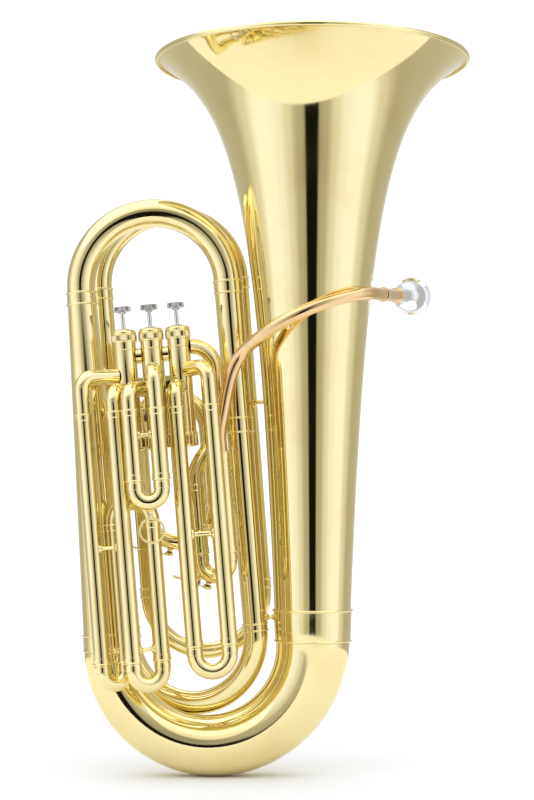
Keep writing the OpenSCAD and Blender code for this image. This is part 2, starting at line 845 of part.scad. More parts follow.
// From the main tuning slide, past the bottom of the first valve, up and over into its top port
entry_low = main_left_top - 6;
entry_bend_low = main_left_top + 2;
entry_bend_high = casing_low + 22;
entry_bend_r = 28;
module entry_bend() {
    // The first and last steps are upright, so that the ends are square to their tubes
    upright = 2;
    path = concat([[main_left[0], main_left[1], entry_bend_low]],
        [for (i = [0:14]) let (t = i / 14)
            [mix(main_left[0], entry_leg[0], ease(t)), mix(main_left[1], entry_leg[1], ease(t)),
             mix(entry_bend_low + upright, entry_bend_high - upright, t)]],
        [[entry_leg[0], entry_leg[1], entry_bend_high]]);
    color(brass) lean() {
        straight_tube(main_left, entry_low, entry_bend_low - solder_gap, tube_d, tube_d, tube_wall);
        swept_tube(path, [for (p = path) tube_d / 2], tube_wall, 16, [1, 0, 0]);
        difference() {
            port_elbow(entry_leg, valve_at(1), entry_bend_high + solder_gap, entry_port, entry_bend_r);
            casing_space(1);
        }
    }
}

// The leadpipe rises in front of the valves' side, then wraps round the front of the bell
wrap_start = 210;
wrap_end = 340;
leadpipe_r = leadpipe_d / 2;
function wrap_level(t) = mix(487, 556, 1 - pow(1 - t, 2));
function wrap_reach(t) = bell_r(wrap_level(t)) + leadpipe_gap + leadpipe_r + 18 * pow(1 - t, 3);
function wrap_point(t) = let (a = mix(wrap_start, wrap_end, t))
    [bell_x + wrap_reach(t) * cos(a), wrap_reach(t) * sin(a), wrap_level(t)];
mouth_direction = unit([-sin(wrap_end), cos(wrap_end), 0.08]);
leadpipe_knots = concat(
    [for (w = [main_right_top - 6, main_right_top + 20]) leaned([main_right[0], main_right[1], w])],
    [leaned([main_right[0] + 6, main_right[1], 417]), [16, -43, 463]],
    [for (t = [0:0.125:1]) wrap_point(t)],
    [wrap_point(1) + 12 * mouth_direction]);
leadpipe_end = leadpipe_knots[len(leadpipe_knots) - 1];

module leadpipe() {
    path = smooth_path(leadpipe_knots, 3);
    color(rose_brass)
        swept_tube(path, [for (i = [0:len(path) - 1]) mix(tube_d / 2 - 0.6, leadpipe_r, min(1, i / 14))],
            tube_wall, 16, [1, 0, 0]);
}

shank_d = 13;
shank_depth = 24;
receiver_l = 58;
receiver_d = 17.6;
module receiver() {
    r = receiver_d / 2;
    shank_r = shank_d / 2 + 0.05;
    color(rose_brass) along(leadpipe_end, mouth_direction)
        rotate_extrude()
            polygon([[leadpipe_r - tube_wall, 0], [leadpipe_r + 1.6, 0], [leadpipe_r + 1.6, 3], [leadpipe_r + 0.8, 4],
                     [r - 1, 20], [r - 1, receiver_l - 12], [r, receiver_l - 11], [r, receiver_l - 8],
                     [r - 0.8, receiver_l - 7], [r - 0.8, receiver_l - 5], [r + 0.6, receiver_l - 4],
                     [r + 0.6, receiver_l], [shank_r, receiver_l], [shank_r, receiver_l - shank_depth - 2],
                     [leadpipe_r - 1.4, receiver_l - shank_depth - 3]]);
}

// Mouthpiece: shank, cup and rim, turned from one piece
module mouthpiece() {
    r = mouthpiece_d / 2;
    l = mouthpiece_reach;
    color(silver) along(leadpipe_end + receiver_l * mouth_direction, mouth_direction)
        rotate_extrude()
            polygon([[4.4, -shank_depth], [shank_d / 2, -shank_depth], [shank_d / 2, 0.4], [shank_d / 2 + 0.4, 1],
                     [8.2, l * 0.34], [9, l * 0.42], [11.5, l * 0.5], [15.5, l * 0.6], [18.6, l * 0.74],
                     [19.4, l * 0.84], [20, l * 0.9], [r - 0.6, l - 5.4], [r, l - 3.6], [r - 0.5, l - 1.4],
                     [r - 2.4, l - 0.1], [r - 4, l], [r - 5.4, l - 0.8], [r - 6.2, l - 2.6],
                     [r - 7, l - 10], [r - 9.5, l - 22], [r - 15, l - 34], [4.2, l - 40], [3.9, l - 44],
                     [4.4, l * 0.2]]);
}

// ---- Water keys ----

key_angle_main = 247;
key_angle_rear = 253;
pivot_x = 14;
pivot_z = 6.4;
pivot_d = 4;
pin_d = 2;
cork_d = 8;
nipple_h = 3;
cork_h = 3;

// Places a water key on the outside of a crook: +Z out of the tube, +X along the lever
module on_crook(p1, p2, level, angle) {
    translate(midway(p1, p2, level))
        rotate([0, 0, heading(p1, p2)])
            rotate([0, 90 - angle, 0])
                translate([0, 0, norm(p2 - p1) / 2 + tube_d / 2])
                    children();
}
module on_main_crook() {
    lean() on_crook(main_left, main_right, main_crook_level, key_angle_main) children();
}
module on_rear_crook() {
    lean() on_crook(rear_left, rear_right, rear_crook_level, key_angle_rear) children();
}

// Nipple, two ears and the pivot screw. The crook's reach is the radius of its centre line.
module key_saddle(crook_reach) {
    ear_gap = 7.8;
    difference() {
        union() {
            translate([0, 0, -3])
                cylinder(h = 3 + nipple_h, d = 6.4);
            translate([pivot_x - 4, -ear_gap / 2 - 1.2, -10])
                cube([8, ear_gap + 2.4, 10]);
            for (side = [-1, 1])
                translate([pivot_x, side * (ear_gap / 2 + 0.6), 0])
                    rotate([90, 0, 0])
                        translate([0, 0, -0.6])
                            linear_extrude(1.2)
                                hull() {
                                    translate([0, pivot_z]) circle(d = 5);
                                    translate([-3, -4]) square([6, 1]);
                                }
            translate([pivot_x, -ear_gap / 2 - 2.4, pivot_z])
                rotate([-90, 0, 0]) {
                    cylinder(h = ear_gap + 3.6, d = pin_d);
                    cylinder(h = 1.2, d = 3.8);
                }
        }
        translate([0, 0, -5])
            cylinder(h = 20, d = 3);
        translate([0, 0, -crook_reach - tube_d / 2])
            rotate([90, 0, 0])
                rotate_extrude()
                    translate([crook_reach, 0])
                        circle(d = tube_d + 0.1);
        // Room between the saddle's plate and the lever's pad
        translate([pivot_x - 5, -ear_gap / 2, -0.5])
            cube([10, ear_gap, 1]);
    }
}

module key_lever() {
    difference() {
        union() {
            translate([0, 0, nipple_h + 1])
                cylinder(h = cork_h + 0.6, d = cork_d + 2);
            translate([0, -2, nipple_h + cork_h + 0.1])
                cube([36, 4, 1.5]);
            translate([pivot_x, -3.6, pivot_z])
                rotate([-90, 0, 0])
                    cylinder(h = 7.2, d = pivot_d);
            translate([38, 0, nipple_h + cork_h + 0.1])
                cylinder(h = 1.6, d = 12);
        }
        translate([0, 0, nipple_h - 1])
            cylinder(h = cork_h + 1, d = cork_d);
        translate([pivot_x, -5, pivot_z])
            rotate([-90, 0, 0])
                cylinder(h = 10, d = pin_d + 0.1);
    }
}

module key_cork() {
    translate([0, 0, nipple_h])
        cylinder(h = cork_h - 0.02, d = cork_d - 0.04);
}

// Two turns of wire on each side of the lever
module key_spring() {
    wire = 0.6;
    for (y = [-3, 3])
        translate([pivot_x, y, pivot_z])
            rotate([90, 0, 0])
                rotate_extrude()
                    translate([pivot_d / 2 + 0.7, 0])
                        circle(d = wire);
}

module main_key_saddle() {
    color(brass) on_main_crook() key_saddle(norm(main_right - main_left) / 2);
}
module main_key_lever() {
    color(brass) on_main_crook() key_lever();
}
module main_key_cork() {
    color(cork_brown) on_main_crook() key_cork();
}
module main_key_spring() {
    color(steel) on_main_crook() key_spring();
}
module rear_key_saddle() {
    color(brass) on_rear_crook() key_saddle(norm(rear_right - rear_left) / 2);
}
module rear_key_lever() {
    color(brass) on_rear_crook() key_lever();
}
module rear_key_cork() {
    color(cork_brown) on_rear_crook() key_cork();
}
module rear_key_spring() {
    color(steel) on_rear_crook() key_spring();
}

bell();
bottom_bow();
left_front_branch();
front_top_bow();
right_front_branch();
inner_bottom_bow();
left_back_branch();
back_top_bow();
right_back_branch();
back_crook();
rear_riser();
rear_crook();
branch_ferrules();
valve_casing(1);  // valve_casing_1
valve_casing(2);  // valve_casing_2
valve_casing(3);  // valve_casing_3
valve_knuckles();
piston(1);  // piston_1
piston(2);  // piston_2
piston(3);  // piston_3
stem(1);  // stem_1
stem(2);  // stem_2
stem(3);  // stem_3
button(1);  // button_1
button(2);  // button_2
button(3);  // button_3
valve_spring(1);  // valve_spring_1
valve_spring(2);  // valve_spring_2
valve_spring(3);  // valve_spring_3
top_caps();
bottom_caps();
cap_felts();
first_slide_elbows();
second_slide_elbows();
third_slide_elbows();
first_slide_sleeves();
second_slide_sleeves();
third_slide_sleeves();
third_slide_return();
main_slide_sleeves();
first_slide();
second_slide();
pull_ring();
third_slide_long();
third_slide_short();
main_tuning_slide();
slide_braces();
body_braces();
entry_bend();
leadpipe();
receiver();
mouthpiece();
main_key_saddle();
main_key_lever();
main_key_cork();
main_key_spring();
rear_key_saddle();
rear_key_lever();
rear_key_cork();
rear_key_spring();
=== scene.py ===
"""A three-quarter size tuba: lacquered brass tubing, top-action valves and a silver mouthpiece."""

import json
import math

import bpy
import numpy as np
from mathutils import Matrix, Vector


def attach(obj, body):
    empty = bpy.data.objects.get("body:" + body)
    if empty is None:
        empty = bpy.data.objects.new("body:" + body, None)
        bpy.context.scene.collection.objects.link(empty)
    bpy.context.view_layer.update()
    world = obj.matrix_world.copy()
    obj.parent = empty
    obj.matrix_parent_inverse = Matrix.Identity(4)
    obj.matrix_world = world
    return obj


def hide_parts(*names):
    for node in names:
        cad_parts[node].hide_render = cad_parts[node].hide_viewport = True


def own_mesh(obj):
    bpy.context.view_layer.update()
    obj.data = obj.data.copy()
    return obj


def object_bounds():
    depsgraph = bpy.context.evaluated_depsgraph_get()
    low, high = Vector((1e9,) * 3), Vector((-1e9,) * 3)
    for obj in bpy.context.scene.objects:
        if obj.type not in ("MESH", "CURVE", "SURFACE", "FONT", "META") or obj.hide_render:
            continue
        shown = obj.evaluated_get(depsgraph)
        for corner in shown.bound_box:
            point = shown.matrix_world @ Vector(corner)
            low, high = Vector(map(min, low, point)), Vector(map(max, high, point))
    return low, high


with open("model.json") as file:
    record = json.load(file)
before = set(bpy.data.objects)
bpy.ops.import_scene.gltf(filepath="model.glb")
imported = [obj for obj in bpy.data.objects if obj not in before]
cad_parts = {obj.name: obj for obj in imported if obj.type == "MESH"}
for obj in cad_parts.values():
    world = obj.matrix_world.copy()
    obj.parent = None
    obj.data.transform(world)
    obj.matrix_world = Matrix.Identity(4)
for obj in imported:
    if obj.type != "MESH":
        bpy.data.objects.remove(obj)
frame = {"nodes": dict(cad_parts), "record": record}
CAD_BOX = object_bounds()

MM = 0.001
SHARP_EDGE = math.radians(38)
HOLD = 0.12    # how close to a corner an outline gets its extra point

# ---- Driving sizes, in millimetres, in the instrument's own frame ----

LEAN = math.radians(4.6)          # valves and branches lean this far from the bell axis
HEIGHT = CAD_BOX[1].z / MM        # top of the rim
BELL_X = 110
RIM_D, RIM_BEAD, THROAT_D, BELL_WALL = 370, 6, 86, 0.8
FLARE_REACH, FLARE_POWER = 46, 0.42
BOW_LEFT_R, BOW_LEFT_D = 127.4, 56
FRONT_BOW_LEVEL, BACK_BOW_LEVEL = 572.6, 580
INNER_BOW_LEVEL, BACK_CROOK_LEVEL = 162, 209
FRONT_BOW_D, INNER_BOW_D, BACK_BOW_D, BRANCH_WALL = 33, 28, 24, 0.7
CASING_D, CASING_GAP = 26, 5
CASING_LOW, CASING_HIGH = 390, 511
PISTON_TRAVEL, STEM_D, BUTTON_D = 17, 5, 20
BORE, TUBE_WALL, SLIDE_GAP = 17, 0.5, 0.03
SLEEVE_TOP, BAND_H = 427, 8
FIRST_CROOK, SECOND_CROOK, THIRD_CROOK, MAIN_CROOK = 145, 336, 133, 248
THIRD_RETURN, RISER_BOW, REAR_CROOK = 300, 400, 311
MAIN_RIGHT_TOP, MAIN_LEFT_TOP = 372, 338
LEADPIPE_D, LEADPIPE_GAP = 14.5, 6.5
MOUTHPIECE_D, MOUTHPIECE_REACH = 46.5, 72
RECEIVER_L, RECEIVER_D, SHANK_D, SHANK_DEPTH = 58, 17.6, 13, 24

TUBE_D = BORE + 2 * TUBE_WALL
SLEEVE_ID = TUBE_D + 2 * SLIDE_GAP
SLEEVE_D = SLEEVE_ID + 2 * TUBE_WALL
BAND_D = SLEEVE_D + 1.8
SLIDE_STOP = BAND_H + 1


def valve_at(number):
    """Place of a valve's axis, counted from the mouthpiece side."""
    return np.array([-5.0 - (number - 1) * (CASING_D + CASING_GAP), -30.0])


FIRST_LEFT, FIRST_RIGHT = valve_at(1) + [-7.5, -31], valve_at(1) + [32, -31]
SECOND_LEFT, SECOND_RIGHT = valve_at(2) + [-28, -50], valve_at(2) + [2, -50]
THIRD_A, THIRD_B = valve_at(3) + [-51, -24], valve_at(3) + [-26, -13]
THIRD_C, THIRD_D = valve_at(3) + [-15, -38], valve_at(3) + [17, -28]
MAIN_RIGHT, MAIN_LEFT = valve_at(1) + [39, -11], valve_at(1) + [6.7, 0]
ENTRY_LEG = valve_at(1) + [40, 10]
REAR_LEFT, REAR_RIGHT = valve_at(3) + [7, 35], valve_at(1) + [24, 35]
RIGHT_FRONT, LEFT_BACK = np.array([57.0, 0.0]), np.array([-94.0, 45.0])
RIGHT_BACK, RISER_LEFT = np.array([69.0, 42.0]), np.array([-65.0, 30.0])
ENTRY_PORT, RIGHT_PORT, LONG_PORT, LEFT_PORT, EXIT_PORT = 496.5, 470, 468, 450, 430


# ---- Surfaces ----

def grid_faces(rows, columns, around=True, closed=True):
    """Four-sided faces of a grid of points. The columns run round, and the rows may join up too."""
    row = np.arange(rows if closed else rows - 1)[:, None]
    column = np.arange(columns if around else columns - 1)[None, :]
    here, along = row * columns, ((row + 1) % rows) * columns
    beside = (column + 1) % columns
    corners = [here + column, here + beside, along + beside, along + column]
    return np.stack(np.broadcast_arrays(*corners), axis=-1).reshape(-1, 4)


def outward(points, faces):
    """Turns the faces round if the shape that they close is inside out: its signed volume is negative."""
    a, b, c, d = (points[faces[:, i]] for i in range(4))
    volume = np.einsum("ij,ij->i", a, np.cross(b, c) + np.cross(c, d)).sum()
    return faces if volume > 0 else faces[:, ::-1]


def carried_frames(path):
    """Two directions across a path at each of its points, turned no more than the path itself turns."""
    tangents = np.gradient(path, axis=0)
    tangents /= np.linalg.norm(tangents, axis=1)[:, None]
    helper = np.eye(3)[np.argmin(np.abs(tangents[0]))]
    normals = np.empty_like(path)
    normal = helper
    for i, tangent in enumerate(tangents):
        normal = normal - normal.dot(tangent) * tangent
        normal = normal / np.linalg.norm(normal)
        normals[i] = normal
    return normals, np.cross(tangents, normals)


def sweep(path, radius, wall, sides=40):
    """A hollow tube along a path: each ring is the path's point plus the radius times
    cosine and sine of the angle round it. The inside runs back the other way."""
    path = np.asarray(path, float)
    radius = np.broadcast_to(np.asarray(radius, float), len(path))
    across, beyond = carried_frames(path)
    angle = np.linspace(0, 2 * np.pi, sides, endpoint=False)
    ring = np.cos(angle)[None, :, None] * across[:, None] + np.sin(angle)[None, :, None] * beyond[:, None]
    outer = path[:, None] + radius[:, None, None] * ring
    inner = path[:, None] + (radius - wall)[:, None, None] * ring
    points = np.concatenate([outer, inner[::-1]]).reshape(-1, 3)
    return points, outward(points, grid_faces(2 * len(path), sides))


def held(profile):
    """Adds a point close to each corner on the long edges of an outline, so that they shade flat between."""
    ahead = np.roll(profile, -1, axis=0) - profile
    length = np.linalg.norm(ahead, axis=1)
    way = ahead / np.maximum(length, 1e-9)[:, None]
    corner = (way * np.roll(way, 1, axis=0)).sum(axis=1) < math.cos(math.radians(7))
    points = []
    for i, point in enumerate(profile):
        points.append(point)
        if length[i] > 1.5:
            if corner[i]:
                points.append(point + way[i] * HOLD)
            if corner[(i + 1) % len(profile)]:
                points.append(point + way[i] * (length[i] - HOLD))
    return np.array(points)


def lathe(profile, steps=72):
    """A turned shape: the closed outline of radius and height, carried once round the Z axis."""
    profile = held(np.asarray(profile, float))
    angle = np.linspace(0, 2 * np.pi, steps, endpoint=False)
    r, z = profile[:, :1], profile[:, 1:]
    points = np.stack([r * np.cos(angle), r * np.sin(angle), np.broadcast_to(z, (len(profile), steps))], axis=-1)
    points = points.reshape(-1, 3)
    return points, outward(points, grid_faces(len(profile), steps))


def leaned(points):
    """Turns points from upright to the lean of the valves and branches."""
    x, y, z = np.moveaxis(np.asarray(points, float), -1, 0)
    return np.stack([x * np.cos(LEAN) - z * np.sin(LEAN), y, x * np.sin(LEAN) + z * np.cos(LEAN)], axis=-1)


def lean(shape):
    return leaned(shape[0]), shape[1]


def moved(shape, x=0.0, y=0.0, z=0.0):
    return shape[0] + [x, y, z], shape[1]


def set_along(shape, point, direction):
    """Turns a shape's Z axis to a direction and sets its origin on a point."""
    turn = np.array(Vector(direction).to_track_quat("Z", "Y").to_matrix())
    return shape[0] @ turn.T + point, shape[1]


def together(shapes):
    """One shape out of several, each with its own points."""
    points, faces, count = [], [], 0
    for shape_points, shape_faces in shapes:
        points.append(shape_points)
        faces.append(shape_faces + count)
        count += len(shape_points)
    return np.concatenate(points), np.concatenate(faces)


def piece(name, shapes, slot="lacquered_brass", body="root", material=None, stands_in=True):
    """Makes a mesh of the shapes, in metres, and lets it ride on a body in place of its CAD node."""
    points, faces = together(shapes)
    mesh = bpy.data.meshes.new(name)
    mesh.from_pydata((points * MM).tolist(), [], faces.tolist())
    mesh.materials.append(material or SLOT_MATERIALS[slot])
    mesh.validate()
    mesh.shade_smooth()
    mesh.set_sharp_from_angle(angle=SHARP_EDGE)
    made = bpy.data.objects.new(name, mesh)
    bpy.context.scene.collection.objects.link(made)
    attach(made, body)
    if stands_in:
        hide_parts(name.removesuffix("_skin"))
    return made


# ---- Paths ----

def straight(place, low, high, rings=2):
    level = np.linspace(low, high, rings)
    return np.stack([np.full(rings, place[0]), np.full(rings, place[1]), level], axis=-1)


def half_turn(first, second, level, over=True, rings=49):
    """Half circle between two upright tubes: the middle, plus reach times cosine across and sine up."""
    middle, reach = (first + second) / 2, (first - second) / 2
    turn = np.linspace(0, np.pi, rings)[:, None]
    flat = middle + reach * np.cos(turn)
    rise = np.linalg.norm(reach) * np.sin(turn)
    return np.concatenate([flat, level + (rise if over else -rise)], axis=1)


def elbow(leg, valve, low, level, bend_r):
    """Up a leg, round a quarter circle and level to the casing of a valve."""
    toward = (valve - leg) / np.linalg.norm(valve - leg)
    turn = np.linspace(0, np.pi / 2, 20)[:, None]
    flat = leg + toward * bend_r * (1 - np.cos(turn))
    bend = np.concatenate([flat, level - bend_r + bend_r * np.sin(turn)], axis=1)
    end = np.append(valve - toward * (CASING_D / 2 - 0.6), level)
    return np.concatenate([[np.append(leg, low)], bend, [end]])


# ---- Materials ----

def new_material(name):
    material = bpy.data.materials.new(name)
    material.use_nodes = True
    tree = material.node_tree
    return material, tree, tree.nodes["Principled BSDF"]


def feed(tree, socket, value):
    """Sets a socket to a number or a colour, or links an output to it."""
    if isinstance(value, bpy.types.NodeSocket):
        tree.links.new(value, socket)
    else:
        socket.default_value = (*value, 1) if isinstance(value, tuple) else value


def maths(tree, operation, *values):
    made = tree.nodes.new("ShaderNodeMath")
    made.operation = operation
    for socket, value in zip(made.inputs, values):
        feed(tree, socket, value)
    return made.outputs[0]


def eased(tree, value, low, high):
    """Rises smoothly from 0 to 1 as the value goes from low to high."""
    made = tree.nodes.new("ShaderNodeMapRange")
    made.interpolation_type = "SMOOTHSTEP"
    for name, given in (("Value", value), ("From Min", low), ("From Max", high)):
        feed(tree, made.inputs[name], given)
    return made.outputs["Result"]


def mixed(tree, share, first, second):
    made = tree.nodes.new("ShaderNodeMix")
    made.data_type = "RGBA"
    for name, given in (("Factor", share), ("A", first), ("B", second)):
        feed(tree, made.inputs[name], given)
    return made.outputs["Result"]


def noise(tree, place, scale, detail=2.0, distortion=0.0):
    made = tree.nodes.new("ShaderNodeTexNoise")
    for name, given in (("Vector", place), ("Scale", scale), ("Detail", detail), ("Distortion", distortion)):
        feed(tree, made.inputs[name], given)
    return made.outputs["Fac"]


def raise_surface(tree, shader, height, distance):
    bump = tree.nodes.new("ShaderNodeBump")
    feed(tree, bump.inputs["Distance"], distance)
    feed(tree, bump.inputs["Height"], height)
    feed(tree, shader.inputs["Normal"], bump.outputs["Normal"])


def own_place(tree):
    return tree.nodes.new("ShaderNodeTexCoord").outputs["Object"]


WIPING_HEIGHT = 0.00000012


def make_handled_metal():
    """What years of playing do to lacquered metal: faint clouds where hands hold it, warmer and
    duller patches, fine wiping marks, and the slight waviness that drawn and bent tube keeps."""
    group = bpy.data.node_groups.new("handled_metal", "ShaderNodeTree")
    for way, names in (("INPUT", ("Position", "Bright", "Worn", "Polish", "Dulling", "Waviness")),
                       ("OUTPUT", ("Color", "Roughness", "Height"))):
        for name in names:
            kind = {"Position": "Vector", "Bright": "Color", "Worn": "Color", "Color": "Color"}.get(name, "Float")
            group.interface.new_socket(name=name, socket_type="NodeSocket" + kind, in_out=way)
    given = group.nodes.new("NodeGroupInput").outputs
    put = group.nodes.new("NodeGroupOutput").inputs
    place = given["Position"]
    clouds = eased(group, noise(group, place, 14, 3), 0.45, 0.72)
    spots = eased(group, noise(group, place, 260, 2), 0.66, 0.78)
    wiping = noise(group, place, 900, 1)
    worn = maths(group, "MAXIMUM", maths(group, "MULTIPLY", clouds, 0.55), maths(group, "MULTIPLY", spots, 0.35))
    feed(group, put["Color"], mixed(group, worn, given["Bright"], given["Worn"]))
    haze = maths(group, "ADD", worn, maths(group, "MULTIPLY", wiping, 0.35))
    dulled = maths(group, "MULTIPLY", haze, given["Dulling"])
    feed(group, put["Roughness"], maths(group, "ADD", given["Polish"], dulled))
    rolling = maths(group, "SUBTRACT", noise(group, place, 26, 1), 0.5)
    swell = maths(group, "MULTIPLY", rolling, given["Waviness"])
    feed(group, put["Height"], maths(group, "ADD", swell, maths(group, "MULTIPLY", wiping, WIPING_HEIGHT)))
    return group


HANDLED_METAL = make_handled_metal()


def metal(name, bright, worn, polish, dulling, waviness, coat=0.0):
    """A polished metal with the marks of handling, under a thin clear coat if it is lacquered."""
    material, tree, shader = new_material(name)
    marks = tree.nodes.new("ShaderNodeGroup")
    marks.node_tree = HANDLED_METAL
    for socket, value in (("Position", own_place(tree)), ("Bright", bright), ("Worn", worn), ("Polish", polish),
                          ("Dulling", dulling), ("Waviness", waviness)):
        feed(tree, marks.inputs[socket], value)
    for socket, value in (("Metallic", 1.0), ("Coat Weight", coat), ("Coat Roughness", 0.03),
                          ("Base Color", marks.outputs["Color"]), ("Roughness", marks.outputs["Roughness"])):
        feed(tree, shader.inputs[socket], value)
    raise_surface(tree, shader, marks.outputs["Height"], 1.0)
    return material


BRASS = metal("lacquered_brass", (0.91, 0.785, 0.39), (0.84, 0.68, 0.30), 0.05, 0.07, 0.00005, coat=0.2)
ROSE_BRASS = metal("rose_brass", (0.87, 0.61, 0.30), (0.70, 0.43, 0.18), 0.07, 0.08, 0.00004, coat=0.2)
NICKEL = metal("nickel_silver", (0.78, 0.77, 0.72), (0.62, 0.60, 0.54), 0.08, 0.12, 0.00002)
BUTTON_METAL = metal("button_nickel", (0.60, 0.59, 0.57), (0.42, 0.41, 0.39), 0.16, 0.16, 0.00002)
SILVER = metal("silver_plate", (0.90, 0.90, 0.90), (0.66, 0.64, 0.60), 0.03, 0.06, 0.00001)
STEEL = metal("spring_steel", (0.56, 0.57, 0.60), (0.40, 0.40, 0.42), 0.20, 0.15, 0.0)


def soft_stuff(name, colour, dark, scale, bump_height):
    """Cork or felt: a matt colour broken up by darker grains, raised a little."""
    material, tree, shader = new_material(name)
    grain = noise(tree, own_place(tree), scale, 4)
    feed(tree, shader.inputs["Roughness"], 0.85)
    feed(tree, shader.inputs["Base Color"], mixed(tree, grain, dark, colour))
    raise_surface(tree, shader, grain, bump_height)
    return material


CORK = soft_stuff("cork", (0.24, 0.15, 0.08), (0.05, 0.03, 0.02), 1800, 0.0003)
FELT = soft_stuff("felt", (0.86, 0.84, 0.78), (0.62, 0.60, 0.55), 3200, 0.0002)

SLOT_MATERIALS = {"lacquered_brass": BRASS, "rose_brass": ROSE_BRASS, "nickel_silver": NICKEL,
                  "silver_plate": SILVER, "spring_steel": STEEL, "cork": CORK, "felt": FELT}
for part in frame["record"]["subparts"]:
    node = frame["nodes"][part["node"]]
    node.data.materials.clear()
    node.data.materials.append(SLOT_MATERIALS[part["material_slot"]])

# ---- Bell and bows ----

BOW_START = math.pi + LEAN
BOW_STEPS = 110


def bow_shape():
    """Centre-line reach, tube radius and angle along the bottom bow, which swells towards the bell."""
    t = np.linspace(0, 1, BOW_STEPS)
    angle = BOW_START + (2 * np.pi - BOW_START) * t
    reach = BOW_LEFT_R + (BELL_X - BOW_LEFT_R) * (1 - np.cos(np.pi * t)) / 2
    radius = (BOW_LEFT_D + (THROAT_D - BOW_LEFT_D) * t) / 2
    return angle, reach, radius


bow_angle, bow_reach, bow_radius = bow_shape()
BOW_LEVEL = float((-(bow_reach + bow_radius) * np.sin(bow_angle)).max())
LEFT_FRONT = np.array([BOW_LEVEL * math.sin(LEAN) - BOW_LEFT_R, 0.0])
LEFT_FRONT_LEVEL = BOW_LEVEL * math.cos(LEAN)
BELL_TOP = HEIGHT - (RIM_BEAD / 2 - 0.4)

# Low end, high end, diameter at the low end and diameter at the high end of each tapering branch
LEFT_TAPER = (LEFT_FRONT_LEVEL, FRONT_BOW_LEVEL, BOW_LEFT_D, FRONT_BOW_D)
RIGHT_TAPER = (INNER_BOW_LEVEL, FRONT_BOW_LEVEL, INNER_BOW_D, FRONT_BOW_D)
BACK_TAPER = (INNER_BOW_LEVEL, BACK_BOW_LEVEL, INNER_BOW_D, BACK_BOW_D)
LAST_TAPER = (BACK_CROOK_LEVEL, BACK_BOW_LEVEL, SLEEVE_D, BACK_BOW_D)


BELL_SPREAD = 1.7
BELL_FERRULE_SHARE = 1 / 30


def bell_level(share):
    """Height of a ring of the bell: the rings stand closer together towards the rim."""
    return BOW_LEVEL + (BELL_TOP - BOW_LEVEL) * (1 - (1 - share) ** BELL_SPREAD)


def bell_radius(z):
    """A throat that opens towards the rim by a power law."""
    def opening(level):
        return ((BELL_TOP + FLARE_REACH - level) / FLARE_REACH) ** -FLARE_POWER
    share = (opening(z) - opening(BOW_LEVEL)) / (1 - opening(BOW_LEVEL))
    return (THROAT_D + (RIM_D - RIM_BEAD - THROAT_D) * share) / 2


def bell_outline():
    """Outside up from the throat, over the rolled bead and its flat land, and back down the inside."""
    z = bell_level(1 - np.linspace(1, 0, 130))
    outside = np.stack([bell_radius(z), z], axis=-1)
    turn = np.radians(np.linspace(-100, 176, 34))
    bead_r = RIM_BEAD / 2
    centre = np.array([(RIM_D - RIM_BEAD) / 2, BELL_TOP])
    bead = centre + bead_r * np.stack([np.cos(turn), np.sin(turn)], axis=-1)
    bead[:, 1] = np.minimum(bead[:, 1], HEIGHT)
    inside = outside[::-1] - [BELL_WALL, 0]
    return np.concatenate([outside[:-1], bead, inside[1:]])


def make_bell():
    piece("bell_skin", [moved(lathe(bell_outline(), 180), x=BELL_X)])


def make_bottom_bow():
    height = BOW_LEVEL + bow_reach * np.sin(bow_angle)
    centre = np.stack([bow_reach * np.cos(bow_angle), 0 * bow_angle, height], axis=-1)
    piece("bottom_bow_skin", [sweep(centre, bow_radius, BELL_WALL, 84)])


def cone_tube(place, low, high, d_low, d_high):
    """A straight branch whose diameter grows evenly."""
    share = np.linspace(0, 1, 9)
    path = straight(place, low, high, 9)
    return lean(sweep(path, (d_low + (d_high - d_low) * share) / 2, BRANCH_WALL, 64))


def make_branches():
    branches = {
        "left_front_branch": (LEFT_FRONT, LEFT_TAPER), "right_front_branch": (RIGHT_FRONT, RIGHT_TAPER),
        "left_back_branch": (LEFT_BACK, BACK_TAPER), "right_back_branch": (RIGHT_BACK, LAST_TAPER)}
    for name, (place, size) in branches.items():
        piece(name + "_skin", [cone_tube(place, *size)])
    bows = {
        "front_top_bow": (LEFT_FRONT, RIGHT_FRONT, FRONT_BOW_LEVEL, FRONT_BOW_D, True),
        "back_top_bow": (LEFT_BACK, RIGHT_BACK, BACK_BOW_LEVEL, BACK_BOW_D, True),
        "inner_bottom_bow": (LEFT_BACK, RIGHT_FRONT, INNER_BOW_LEVEL, INNER_BOW_D, False),
        "back_crook": (RISER_LEFT, RIGHT_BACK, BACK_CROOK_LEVEL, SLEEVE_D, False)}
    for name, (first, second, level, width, over) in bows.items():
        path = half_turn(first, second, level, over, 73)
        piece(name + "_skin", [lean(sweep(path, width / 2, BRANCH_WALL, 56))])
    riser = np.concatenate([straight(RISER_LEFT, BACK_CROOK_LEVEL, RISER_BOW)[:1],
                            half_turn(RISER_LEFT, REAR_RIGHT, RISER_BOW),
                            straight(REAR_RIGHT, RISER_BOW, REAR_CROOK)[1:]])
    piece("rear_riser_skin", [lean(sweep(riser, SLEEVE_D / 2, BRANCH_WALL, 48))])
    crook = half_turn(REAR_LEFT, REAR_RIGHT, REAR_CROOK, False)
    piece("rear_crook_skin", [lean(sweep(crook, TUBE_D / 2, TUBE_WALL, 48))])


# ---- Rings, sleeves and slides ----

def bead(radius, level, size):
    """Half-round bead on the outside of a ring, from below to above."""
    turn = np.linspace(-np.pi / 2, np.pi / 2, 9)
    return np.stack([radius + size * np.cos(turn), level + size * np.sin(turn)], axis=-1)


